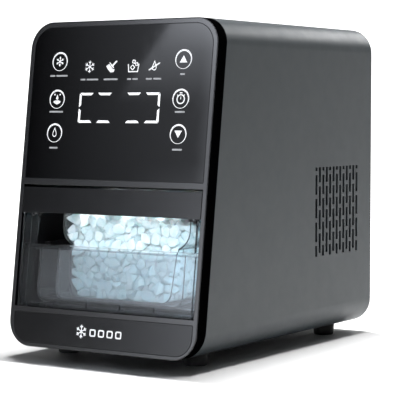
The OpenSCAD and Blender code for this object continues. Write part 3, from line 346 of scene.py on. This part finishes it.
# ---- Piece building -------------------------------------------------------------------------


def added(name, data, place=(0, 0, 0)):
    """A new object in the scene that shows data."""
    obj = bpy.data.objects.new(name, data)
    obj.location = place
    bpy.context.scene.collection.objects.link(obj)
    return obj


def piece(name, mesh, key, body):
    """A new object that shows mesh, finished with a material and riding on a body."""
    obj = added(name, mesh)
    paint(obj, key)
    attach(obj, body)


# How thick the printed marks are and how deep they are sunk into the front, in millimetres
MARK_THICK = 0.12
MARK_SUNK = 0.06


def mark_mesh(loops):
    """A thin raised mark on the front from closed loops in millimetres; inner loops are holes."""
    curve = bpy.data.curves.new("mark", "CURVE")
    curve.dimensions = "2D"
    curve.fill_mode = "BOTH"
    curve.extrude = MARK_THICK * MM / 2
    for loop in loops:
        spline = curve.splines.new("POLY")
        spline.points.add(len(loop) - 1)
        for point, (u, v) in zip(spline.points, loop):
            point.co = (u * MM, v * MM, 0, 1)
        spline.use_cyclic_u = True
    holder = bpy.data.objects.new("mark", curve)
    mesh = bpy.data.meshes.new_from_object(holder)
    bpy.data.objects.remove(holder)
    bpy.data.curves.remove(curve)
    mesh.transform(front_matrix((MARK_THICK / 2 - MARK_SUNK) * MM))
    return mesh


def circle(u, v, r, steps=48):
    """A circle about (u, v)."""
    return [(u + r * math.cos(math.tau * k / steps), v + r * math.sin(math.tau * k / steps))
            for k in range(steps)]


def moved(loop, u, v, turn=0.0):
    """The loop turned about its own origin, with that origin at (u, v)."""
    c, s = math.cos(turn), math.sin(turn)
    return [(u + x * c - y * s, v + x * s + y * c) for x, y in loop]


def bar(x0, y0, x1, y1, width):
    """A straight stroke with round ends."""
    turn = math.atan2(y1 - y0, x1 - x0)
    length = math.hypot(x1 - x0, y1 - y0)
    half = width / 2
    end = [(length + half * math.sin(math.pi * k / 8), -half * math.cos(math.pi * k / 8))
           for k in range(9)]
    start = [(-half * math.sin(math.pi * k / 8), half * math.cos(math.pi * k / 8))
             for k in range(9)]
    return moved(end + start, x0, y0, turn)


def rounded_box(u, v, w, h, r, turn=0.0):
    """A rectangle about (u, v) with rounded corners."""
    loop = []
    for cx, cy, start in ((1, 1, 0), (-1, 1, 90), (-1, -1, 180), (1, -1, 270)):
        for k in range(7):
            a = math.radians(start + 15 * k)
            loop.append((cx * (w / 2 - r) + r * math.cos(a), cy * (h / 2 - r) + r * math.sin(a)))
    return moved(loop, u, v, turn)


def drop(u, v, size):
    """A water drop's outline, its point up."""
    loop = []
    for k in range(40):
        a = math.tau * k / 40
        squeeze = math.sin(a / 2) ** 1.6
        loop.append((size * 0.62 * math.sin(a) * squeeze, size * (0.15 + 0.85 * math.cos(a))))
    return moved(loop, u, v)


def snowflake(u, v, r, width, barb):
    """Six arms, each with a pair of barbs."""
    loops = []
    for k in range(6):
        turn = math.radians(60 * k + 90)
        loops.append(moved(bar(0, 0, r, 0, width), u, v, turn))
        root = r * 0.62
        for side in (-1, 1):
            loops.append(moved(bar(root, 0, root + barb * 0.8, side * barb, width), u, v, turn))
    return loops


# Places on the front, in millimetres
KEY_U = (-75.5, 76.5)
KEY_V = (292.5, 253.7, 219.0)
KEY_R = 9.75
KEY_CAPTION_V = (277.7, 240.7, 203.7)
STATUS_V = 286.5
SNOW_U = -37
BRUSH_U = -10
TANK_U = 42.5
STATUS_CAPTION_U = (-36.3, -9.8, 17.0, 42.5)
STATUS_CAPTION_V = 273.5
PANEL_HALF = 109.5


def key_ring(u, v):
    """A ring that is thin below and thick at the top, where the extra width is a painted highlight."""
    thick, lowered = 1.17, 0.62
    return [circle(u, v, KEY_R, 64), circle(u, v - lowered, KEY_R - thick, 64)]


def key_icons():
    """The six keys' icons, as a list of groups of loops."""
    left, right = KEY_U
    top, middle, low = KEY_V
    hand = [(-4.6, -2.2), (-2.2, -1.4), (2.2, -1.4), (4.6, -2.2), (4.0, -3.8), (0, -5.6), (-4.0, -3.8)]
    timer = [circle(right, middle - 0.5, 4.9), circle(right, middle - 0.5, 3.7)]
    return [
        *[[loop] for loop in snowflake(left, top, 4.9, 0.7, 0.9)],
        [moved(hand, left, middle)],
        [drop(left, middle + 1.6, 3.2)],
        [circle(left - 3.4, middle + 4.6, 0.9, 16)], [circle(left + 3.4, middle + 4.6, 0.9, 16)],
        [drop(left, low, 6.0), drop(left, low - 0.2, 4.3)],
        [moved([(0, 3.8), (-4.4, -3.4), (4.4, -3.4)], right, top)],
        [moved([(0, -3.8), (4.4, 3.4), (-4.4, 3.4)], right, low)],
        timer,
        [rounded_box(right, middle + 5.6, 3.2, 1.1, 0.4)],
        [bar(right, middle - 0.5, right, middle + 1.7, 0.7)],
        [bar(right - 4.1, middle + 3.7, right - 3.4, middle + 3.0, 0.8)],
        [bar(right + 3.4, middle + 3.0, right + 4.1, middle + 3.7, 0.8)],
    ]


def status_icons():
    """Snowflake, brush, full tray and empty tank, as a list of groups of loops."""
    groups = [[loop] for loop in snowflake(SNOW_U, STATUS_V, 6.0, 0.75, 1.5)]
    brush = [(-6.3, 0.2), (-3.0, 2.6), (2.2, -2.8), (4.4, -3.0), (3.0, -5.8), (-0.6, -6.0), (-4.2, -2.6)]
    groups.append([moved(brush, BRUSH_U, STATUS_V)])
    groups.append([bar(BRUSH_U + 1.2, STATUS_V + 0.6, BRUSH_U + 6.0, STATUS_V + 5.0, 1.7)])
    groups.append([bar(BRUSH_U - 2.0, STATUS_V + 3.6, BRUSH_U + 2.8, STATUS_V - 1.2, 1.2)])
    # Tray with three cubes
    tray = [(10.8, 1.6), (11.8, -5.6), (22.6, -5.6), (23.6, 1.6)]
    for (u0, v0), (u1, v1) in zip(tray, tray[1:]):
        groups.append([bar(u0, STATUS_V + v0, u1, STATUS_V + v1, 1.15)])
    for u, v, size, turn in ((16.2, -1.4, 4.6, 0.8), (21.0, 1.8, 3.6, 0.25), (17.4, 4.4, 3.8, -0.2)):
        groups.append([rounded_box(u, STATUS_V + v, size, size, 0.8, turn),
                       rounded_box(u, STATUS_V + v, size - 1.9, size - 1.9, 0.4, turn)])
    groups.append([drop(TANK_U, STATUS_V - 0.4, 6.2), drop(TANK_U, STATUS_V - 0.9, 4.2)])
    groups.append([bar(TANK_U - 5.9, STATUS_V - 4.0, TANK_U + 5.9, STATUS_V + 2.6, 1.3)])
    return groups


def caption(u, v, words, height=1.7, gap=1.6):
    """Plain dashes where the real one has words, one for each word."""
    total = sum(words) + gap * (len(words) - 1)
    loops, x = [], u - total / 2
    for word in words:
        loops.append([rounded_box(x + word / 2, v, word, height, height * 0.4)])
        x += word + gap
    return loops


def captions():
    """The dashes under the keys, left column first, and under the status icons."""
    key_words = [((6.2, 14.5), (17.5,), (10.5,)), ((5.6,), (11.5,), (11.5,))]
    status_words = [(6.2, 14.5), (17.5,), (5.0, 6.4), (7.4, 9.4)]
    rows = []
    for u, column in zip(KEY_U, key_words):
        rows += [(u, v, words) for v, words in zip(KEY_CAPTION_V, column)]
    rows += [(u, STATUS_CAPTION_V, words) for u, words in zip(STATUS_CAPTION_U, status_words)]
    return [group for u, v, words in rows for group in caption(u, v, words)]


def display_segments():
    """The lit bars of the display: tops and bottoms of four digits, and the outer uprights."""
    low, middle, high, thick = 229.5, 244.7, 259.9, 2.45
    digits = ((-46.0, -29.6), (-23.6, -6.8), (12.2, 28.8), (34.9, 51.5))
    loops = []
    for u0, u1 in digits:
        for v, inward in ((high, -1), (low, 1)):
            inner = v + inward * thick
            loops.append([(u0, v), (u1, v), (u1 - thick, inner), (u0 + thick, inner)])
    for u, inward in ((-46.8, 1), (52.2, -1)):
        inner = u + inward * thick
        for v0, v1 in ((middle + 0.8, high - 0.7), (low + 0.7, middle - 0.8)):
            flat = v0 + thick * 0.75 if v0 > middle else v0 + thick * 0.4
            loops.append([(u, v0), (u, v1), (inner, v1 - thick * 0.75), (inner, flat)])
    return [[loop] for loop in loops]


def emblem():
    """A plain sign on the fascia: a snowflake and a row of cubes."""
    cube, hollow, first, pitch, level = 7.4, 4.6, -8, 10.5, 19.6
    groups = [[loop] for loop in snowflake(-22, 20, 6.4, 0.9, 1.5)]
    for k in range(4):
        u = first + pitch * k
        groups.append([rounded_box(u, level, cube, cube, 1.8),
                       rounded_box(u, level, hollow, hollow, 0.9)])
    return groups


def seam(z0, z1, top_r, low_r):
    """The painted shadow line in the gap round a part that is let into the bezel, between two heights
    above the base.
    """
    outer, inner = 0.5, -0.25
    loops = []
    for grow in (outer, inner):
        x = PANEL_HALF + grow
        loop = []
        for side, end, start in ((1, 1, 0), (-1, 1, 90), (-1, -1, 180), (1, -1, 270)):
            r = (top_r if end > 0 else low_r) + grow
            u = side * (x - r)
            z = z1 + grow - r if end > 0 else z0 - grow + r
            for k in range(9):
                a = math.radians(start + 11.25 * k)
                loop.append((u + r * math.cos(a), (z + r * math.sin(a)) / math.cos(LEAN)))
        loops.append(loop)
    return loops


def joined_marks(name, groups, key):
    """One piece from several groups of loops; each group is filled on its own."""
    mesh = bpy.data.meshes.new(name)
    bm = bmesh.new()
    for group in groups:
        mark = mark_mesh(group)
        bm.from_mesh(mark)
        bpy.data.meshes.remove(mark)
    bm.to_mesh(mesh)
    bm.free()
    piece(name, mesh, key, "cabinet")


# The rings, icons, captions and emblem glow with painted light
joined_marks("key_rings", [key_ring(u, v) for u in KEY_U for v in KEY_V], "ink")
joined_marks("key_icons", key_icons(), "ink")
joined_marks("status_icons", status_icons(), "ink")
joined_marks("captions", captions(), "label")
joined_marks("display_segments", display_segments(), "display")
joined_marks("fascia_emblem", emblem(), "ink")
# Painted shadow: black lines laid in the gaps round the glass and the fascia, where there is only shade
glass_seam = seam(170.5, 325.0, 21.5, 1.2)
fascia_seam = seam(4.5, 34.8, 1.5, 18.5)
joined_marks("seam_shadow_lines", [glass_seam, fascia_seam], "black")


# ---- Ice ------------------------------------------------------------------------------------
# In millimetres. The basket has a narrow, tapered lower part and a wide bowl above a ledge.

BASKET_WALL = 1.6
BASKET_FRONT = 31.0
BASKET_STEP = 53.3
BASKET_TAPER = 0.088
LOW_HALF = 61.8
LOW_CORNER = 11.4
BOWL_CORNER = 18.4
NUGGET_PITCH = 10.0
NUGGET_GAP = 0.12
NUGGET_REACH = 7.6
WALL_GAP = 0.15
# The heap's highest point above the basket's rim, which clears the cavity's roof when lifted
HEAP_RISE = 4.0


class Basket:
    """The basket's inner walls as planes: each is a direction and how far out it lies."""

    def __init__(self):
        low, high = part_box("ice_basket")
        self.floor = low.z * 1000 + BASKET_WALL
        self.ledge = low.z * 1000 + BASKET_STEP + BASKET_WALL
        self.top = high.z * 1000
        self.back = high.y * 1000 - BASKET_WALL
        self.half = high.x * 1000 - BASKET_WALL
        self.front_normal = np.array(OUTWARD)
        on_front = np.array([0, FRONT_Y * 1000 + BASKET_FRONT + BASKET_WALL, BASE_Z * 1000])
        self.front_reach = float(self.front_normal @ on_front)

    def half_at(self, z):
        """The inner half width at height z."""
        if z > self.ledge:
            return self.half
        return LOW_HALF + BASKET_TAPER * max(0, z - self.floor - LOW_CORNER)

    def planes(self, seed):
        """The normals and reaches of the walls and rounded corners that bound a nugget at seed."""
        x, _, z = seed
        found = [(self.front_normal, self.front_reach), ((0, 1, 0), self.back),
                 ((0, 0, -1), -self.floor)]
        upper = z > self.ledge
        if upper and abs(x) > LOW_HALF - 2:
            found.append(((0, 0, -1), -self.ledge))
        for side in (-1, 1):
            if upper:
                half, corner, floor = self.half, BOWL_CORNER, self.ledge
                found.append(((side, 0, 0), half))
            else:
                half, corner, floor = LOW_HALF, LOW_CORNER, self.floor
                lean = math.hypot(1, BASKET_TAPER)
                reach = (LOW_HALF - BASKET_TAPER * (self.floor + LOW_CORNER)) / lean
                found.append(((side / lean, 0, -BASKET_TAPER / lean), reach))
            if upper and abs(x) < LOW_HALF - 6:
                continue
            for turn in (22.5, 45, 67.5):
                c, d = math.cos(math.radians(turn)), math.sin(math.radians(turn))
                centre_x, centre_z = half - corner, floor + corner
                found.append(((side * c, 0, -d), c * centre_x - d * centre_z + corner))
        normals = np.array([n for n, _ in found], float)
        return normals, np.array([reach for _, reach in found])


def clipped(faces, normal, reach):
    """The part of a convex polyhedron, a list of loops of points, that lies inside a plane."""
    kept, cut = [], []
    for loop in faces:
        height = [normal @ p - reach for p in loop]
        if min(height) > -1e-9:
            continue
        if max(height) <= 1e-9:
            kept.append(loop)
            continue
        new = []
        for k, point in enumerate(loop):
            after = (k + 1) % len(loop)
            if height[k] <= 0:
                new.append(point)
            if (height[k] < 0) != (height[after] < 0):
                share = height[k] / (height[k] - height[after])
                crossing = point + share * (loop[after] - point)
                new.append(crossing)
                cut.append(crossing)
        if len(new) > 2:
            kept.append(new)
    if len(cut) > 2:
        across = np.cross(normal, cut[0] - cut[1])
        across = across / (np.linalg.norm(across) + 1e-12)
        up = np.cross(normal, across)
        middle = sum(cut) / len(cut)
        ends = sorted(cut, key=lambda p: math.atan2((p - middle) @ up, (p - middle) @ across))
        loop = [p for k, p in enumerate(ends) if np.linalg.norm(p - ends[k - 1]) > 1e-4]
        if len(loop) > 2:
            kept.append(loop)
    return kept


def cube_faces(half):
    """A cube about the origin as six loops of corners."""
    signs = ((-1, -1), (1, -1), (1, 1), (-1, 1))
    faces = []
    for axis in range(3):
        for end in (-1, 1):
            loop = []
            for a, b in signs[::end]:
                point = np.zeros(3)
                point[axis], point[(axis + 1) % 3], point[(axis + 2) % 3] = end, a, b
                loop.append(point * half)
            faces.append(loop)
    return faces


def nugget(seed, others, basket, chips):
    """A chunk that fills its share of the heap, up to its neighbours and the basket's walls.

    Chips are knocked off it in the given directions, and its corners and edges are melted back."""
    corner_melt, edge_melt, face_swell = 0.06, 0.015, 0.01
    apart = others - seed
    span = np.linalg.norm(apart, axis=1)
    near = (span > 0.1) & (span < 2.1 * NUGGET_PITCH)
    normals, reach = basket.planes(seed)
    faces = cube_faces(NUGGET_REACH)
    for offset, length in sorted(zip(apart[near].tolist(), span[near]), key=lambda pair: pair[1]):
        faces = clipped(faces, np.array(offset) / length, length / 2 - NUGGET_GAP)
    for normal, limit in zip(normals, reach):
        faces = clipped(faces, normal, limit - normal @ seed - WALL_GAP)
    faces = clipped(faces, np.array([0, 0, 1.0]), basket.top + HEAP_RISE - seed[2])
    for chip in chips:
        size = np.linalg.norm(chip)
        depth = NUGGET_PITCH * (0.4 + 0.07 * min(size, 2))
        faces = clipped(faces, chip / size, depth)
    points, index = [], {}

    def number(point, melt):
        key = tuple(np.round(point, 3))
        if key not in index:
            index[key] = len(points)
            points.append(seed + point * (1 - melt))
        return index[key]

    quads = []
    for loop in faces:
        count = len(loop)
        middle = number(sum(loop) / count, -face_swell)
        corners = [number(p, corner_melt) for p in loop]
        edges = [number((loop[k] + loop[(k + 1) % count]) / 2, edge_melt) for k in range(count)]
        quads += [(middle, edges[k - 1], corners[k], edges[k]) for k in range(count)]
    return points, quads


def ice_heap():
    """Nuggets packed into the basket. Those deep in the heap, which never show, are left out."""
    layers, rows, columns = 14, 18, 10
    layer_rise, row_step = 0.8, 0.87
    scatter, off_wall, roughness, chip_count = 2.6, 2.4, 0.1, 9
    top_unevenness = 3
    rng = np.random.default_rng(11)
    basket = Basket()
    seeds = []
    for layer in range(layers):
        z = basket.floor + 5 + layer * NUGGET_PITCH * layer_rise
        for row in range(rows):
            y = basket.back - 4 - row * NUGGET_PITCH * row_step
            for column in range(-columns, columns + 1):
                x = (column + 0.5 * ((row + layer) % 2)) * NUGGET_PITCH
                seeds.append(np.array([x, y, z]) + rng.uniform(-scatter, scatter, 3))
    inside = []
    for seed in seeds:
        normals, reach = basket.planes(seed)
        if np.all(normals @ seed < reach - off_wall):
            inside.append(seed)
    seeds = np.array(inside)
    top = basket.top - 2
    points, faces = [], []
    for seed in seeds:
        if seed[2] > top + rng.uniform(-top_unevenness, top_unevenness):
            continue
        # Near the front, a side, the top, the back or the floor
        depth = basket.front_reach - basket.front_normal @ seed
        shown = (depth < 17, basket.half_at(seed[2]) - abs(seed[0]) < 14, top - seed[2] < 16,
                 basket.back - seed[1] < 12, seed[2] - basket.floor < 9)
        if not any(shown):
            continue
        chunk, quads = nugget(seed, seeds, basket, rng.normal(size=(chip_count, 3)))
        faces += [tuple(v + len(points) for v in quad) for quad in quads]
        points += [p + rng.normal(size=3) * roughness for p in chunk]
    mesh = bpy.data.meshes.new("ice_nuggets")
    mesh.from_pydata((np.vstack(points) * MM).tolist(), [], faces)
    piece("ice_nuggets", mesh, "ice", "basket")


ice_heap()


# ---- Stage ----------------------------------------------------------------------------------

CAMERA_TURN = math.radians(33.068)
CAMERA_DROP = math.radians(3.257)
CAMERA_PLACE = Vector((0.9428, FRONT_Y - 1.26225, 0.25345))
CAMERA_LENS = 144.135
AWAY = Vector((-math.sin(CAMERA_TURN), math.cos(CAMERA_TURN), 0))


def make_camera():
    """The camera at the photograph's viewpoint."""
    data = bpy.data.cameras.new("camera")
    data.sensor_width = 36
    data.lens = CAMERA_LENS
    data.clip_end = 50
    camera = added("camera", data, CAMERA_PLACE)
    camera.rotation_euler = (math.pi / 2 - CAMERA_DROP, 0, CAMERA_TURN)
    bpy.context.scene.camera = camera
    bpy.context.scene.view_settings.view_transform = "Standard"


def sweep(name, start, bend, level, top=5.0, curve=1.6, half=8):
    """A sheet that lies flat from start to bend, in metres along AWAY, and then curves up to top."""
    way = math.copysign(1, bend)
    side = Vector((AWAY.y, -AWAY.x, 0)) * way
    profile = [(start, level), (bend, level)]
    for k in range(1, 13):
        a = math.radians(7.5 * k)
        profile.append((bend + way * curve * math.sin(a), level + curve - curve * math.cos(a)))
    profile.append((bend + way * curve, top))
    points = [AWAY * reach + side * s + Vector((0, 0, height))
              for reach, height in profile for s in (-half, half)]
    faces = [(2 * k, 2 * k + 1, 2 * k + 3, 2 * k + 2) for k in range(len(profile) - 1)]
    mesh = bpy.data.meshes.new(name)
    mesh.from_pydata(points, [], faces)
    mesh.polygons.foreach_set("use_smooth", [True] * len(faces))
    return added(name, mesh)


def make_floor():
    """A pale floor that curves up into a backdrop behind the object and brightens towards it."""
    floor = sweep("floor", start=-6.0, bend=2.2, level=0.0)
    n = Nodes("floor")
    shader = n.surface()
    tone = n.colour_mix(n.noise(3, 2), (0.88, 0.88, 0.88), (0.9, 0.9, 0.9))
    n.link(tone, shader.inputs["Base Color"])
    shader.inputs["Roughness"].default_value = 0.7
    shader.inputs["Specular IOR Level"].default_value = 0.2
    split = n.add("ShaderNodeSeparateXYZ")
    n.link(n.coords, split.inputs[0])
    far = n.spread(n.dot(n.coords, AWAY), 0.0, 1.05, 0.3, 2.2)
    low = n.spread(split.outputs["Z"], 1, 0, 0.7, 1.3)
    n.link(n.math("MULTIPLY", far, low), shader.inputs["Emission Strength"])
    shader.inputs["Emission Color"].default_value = (1, 1, 1, 1)
    floor.data.materials.append(n.material)


def make_front_sweep():
    """A pale backdrop on the camera's side, which only the views from behind show."""
    backdrop = sweep("front_sweep", start=-1.7, bend=-4.0, level=MM)
    n = Nodes("front_sweep")
    mix = n.surface("ShaderNodeMixShader")
    n.link(n.spread(n.dot(n.coords, AWAY), 1, 0, -3.2, -1.8), mix.inputs["Fac"])
    n.link(n.add("ShaderNodeBsdfTransparent").outputs["BSDF"], mix.inputs[1])
    glow = n.add("ShaderNodeEmission")
    tone = n.colour_mix(n.noise(3, 2), (0.72, 0.72, 0.72), (0.74, 0.74, 0.74))
    n.link(tone, glow.inputs["Color"])
    n.link(glow.outputs["Emission"], mix.inputs[2])
    n.material.cycles.emission_sampling = "NONE"
    backdrop.data.materials.append(n.material)
    for ray in ("diffuse", "glossy", "transmission", "volume_scatter", "shadow"):
        setattr(backdrop, "visible_" + ray, False)


def make_world():
    """Light from all round: bright behind the object and dim in front, to keep the front black."""
    world = bpy.data.worlds.new("world")
    world.use_nodes = True
    tree = world.node_tree
    background = tree.nodes["Background"]
    coords = tree.nodes.new("ShaderNodeTexCoord")
    split = tree.nodes.new("ShaderNodeSeparateXYZ")
    tree.links.new(coords.outputs["Generated"], split.inputs[0])
    fade = tree.nodes.new("ShaderNodeMapRange")
    fade.interpolation_type = "SMOOTHSTEP"
    limits = {"From Min": 0.1, "From Max": 0.7, "To Min": 0.002, "To Max": 0.1}
    for key, value in limits.items():
        fade.inputs[key].default_value = value
    tree.links.new(split.outputs["Y"], fade.inputs["Value"])
    tree.links.new(fade.outputs["Result"], background.inputs["Strength"])
    background.inputs["Color"].default_value = (1, 1, 1, 1)
    bpy.context.scene.world = world


def lamp(name, kind, place, target, power):
    """A lamp of the given kind at place, aimed at target."""
    data = bpy.data.lights.new(name, kind)
    data.energy = power
    light = added(name, data, place)
    light.rotation_euler = (Vector(target) - Vector(place)).to_track_quat("-Z", "Y").to_euler()
    return light


def area_light(name, place, target, size, power, colour=(1, 1, 1), mirrored=True):
    """A rectangular lamp, of size (width, height), that may be seen in glossy surfaces or not."""
    light = lamp(name, "AREA", place, target, power)
    light.data.shape = "RECTANGLE"
    light.data.size, light.data.size_y = size
    light.data.color = colour
    light.visible_glossy = mirrored


def drawer_spot(place, target, angle, power):
    """A snooted lamp beside the camera that lights only the drawer's tub, basket and ice."""
    light = lamp("drawer_spot", "SPOT", place, target, power)
    light.data.spot_size = math.radians(angle)
    light.data.spot_blend = 0.6
    light.data.shadow_soft_size = 0.08
    lit = bpy.data.collections.new("lit_by_drawer_spot")
    for name in ("drawer_tub", "basket_cradle", "ice_basket"):
        lit.objects.link(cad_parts[name])
    lit.objects.link(bpy.data.objects["ice_nuggets"])
    light.light_linking.receiver_collection = lit


def reflection_card():
    """The softbox that the glass mirrors, a sheet parallel to the front and out of shot.

    It is laid out in the front's own u and v, seen from the camera's mirror image, so that its
    slanted edge crosses the glass where it should."""
    stand_off = 0.8
    left, right, bottom, top = -0.55, 0.5, -0.45, 0.95
    to_plane = (CAMERA_PLACE - front_point(0, 0)).dot(OUTWARD)
    mirror_eye = CAMERA_PLACE - 2 * to_plane * OUTWARD
    grow = (to_plane + stand_off) / to_plane
    corners = [(left, bottom), (right, bottom), (right, top), (left, top)]
    mesh = bpy.data.meshes.new("reflection_card")
    points = [mirror_eye + grow * (front_point(u, v) - mirror_eye) for u, v in corners]
    mesh.from_pydata(points, [], [(0, 1, 2, 3)])
    layer = mesh.uv_layers.new(name="front_uv")
    for loop in mesh.loops:
        layer.data[loop.index].uv = corners[loop.vertex_index]
    card = added("reflection_card", mesh)
    card.visible_camera = False
    card.visible_shadow = False
    card.visible_diffuse = False
    n = Nodes("reflection_card")
    source = n.add("ShaderNodeUVMap", uv_map="front_uv").outputs["UV"]
    split = n.add("ShaderNodeSeparateXYZ")
    n.link(source, split.inputs[0])
    u, v = split.outputs[0], split.outputs[1]
    # A soft gradient over the whole glass, brighter to the right and upwards
    across = n.spread(u, 0.05, 0.95, -0.11, 0.09)
    gradient = n.math("MULTIPLY", across, n.spread(v, 0.85, 1.15, 0.17, 0.33))
    # Glows low on the right, along the right rim and in its top corner
    low_glow = n.math("MULTIPLY", n.spread(u, 0, 1.3, 0.02, 0.11), n.spread(v, 1, 0, 0.14, 0.19))
    corner = n.math("MULTIPLY", n.spread(u, 0, 1, 0.04, 0.11), n.spread(v, 0, 3, 0.3, 0.335))
    rim_glow = n.math("ADD", n.spread(u, 0, 1.4, 0.098, 0.118), corner)
    # The bright sheet right of a line that leans across the glass, fading downwards
    line_u, line_v, line_slope = 0.055, 0.3275, 0.76
    drop_below = n.math("MULTIPLY", n.math("SUBTRACT", line_v, v), line_slope)
    past_line = n.math("ADD", n.math("SUBTRACT", u, line_u), drop_below)
    sheet = n.math("MULTIPLY", n.spread(past_line, 0, 1, 0, 0.004), n.spread(v, 0, 2.7, 0.25, 0.33))
    glows = n.math("ADD", low_glow, rim_glow)
    glow = n.surface("ShaderNodeEmission")
    glow.inputs["Color"].default_value = (0.87, 0.91, 1, 1)
    n.link(n.math("ADD", n.math("ADD", gradient, sheet), glows), glow.inputs["Strength"])
    mesh.materials.append(n.material)


make_camera()
make_floor()
make_front_sweep()
make_world()
reflection_card()
area_light("overhead_softbox", place=(-0.05, 0.3, 2.3), target=(-0.05, 0, 0), size=(0.8, 0.06),
           power=100)
area_light("back_softbox", place=(0.2, 1.25, 0.9), target=(0.1, 0.18, 0.33), size=(0.7, 0.3),
           power=4.2)
area_light("cavity_light", place=(0.005, -0.108, 0.172), target=(0, -0.09, 0.1),
           size=(0.13, 0.012), power=0.18, mirrored=False)
area_light("tub_glow", place=(0.099, -0.13, 0.09), target=(0, -0.1, 0.07), size=(0.06, 0.05),
           power=0.023, colour=(0.75, 0.9, 1), mirrored=False)
drawer_spot(place=(0.75, -1.25, 0.42), target=(0.02, -0.15, 0.112), angle=9.5, power=32)
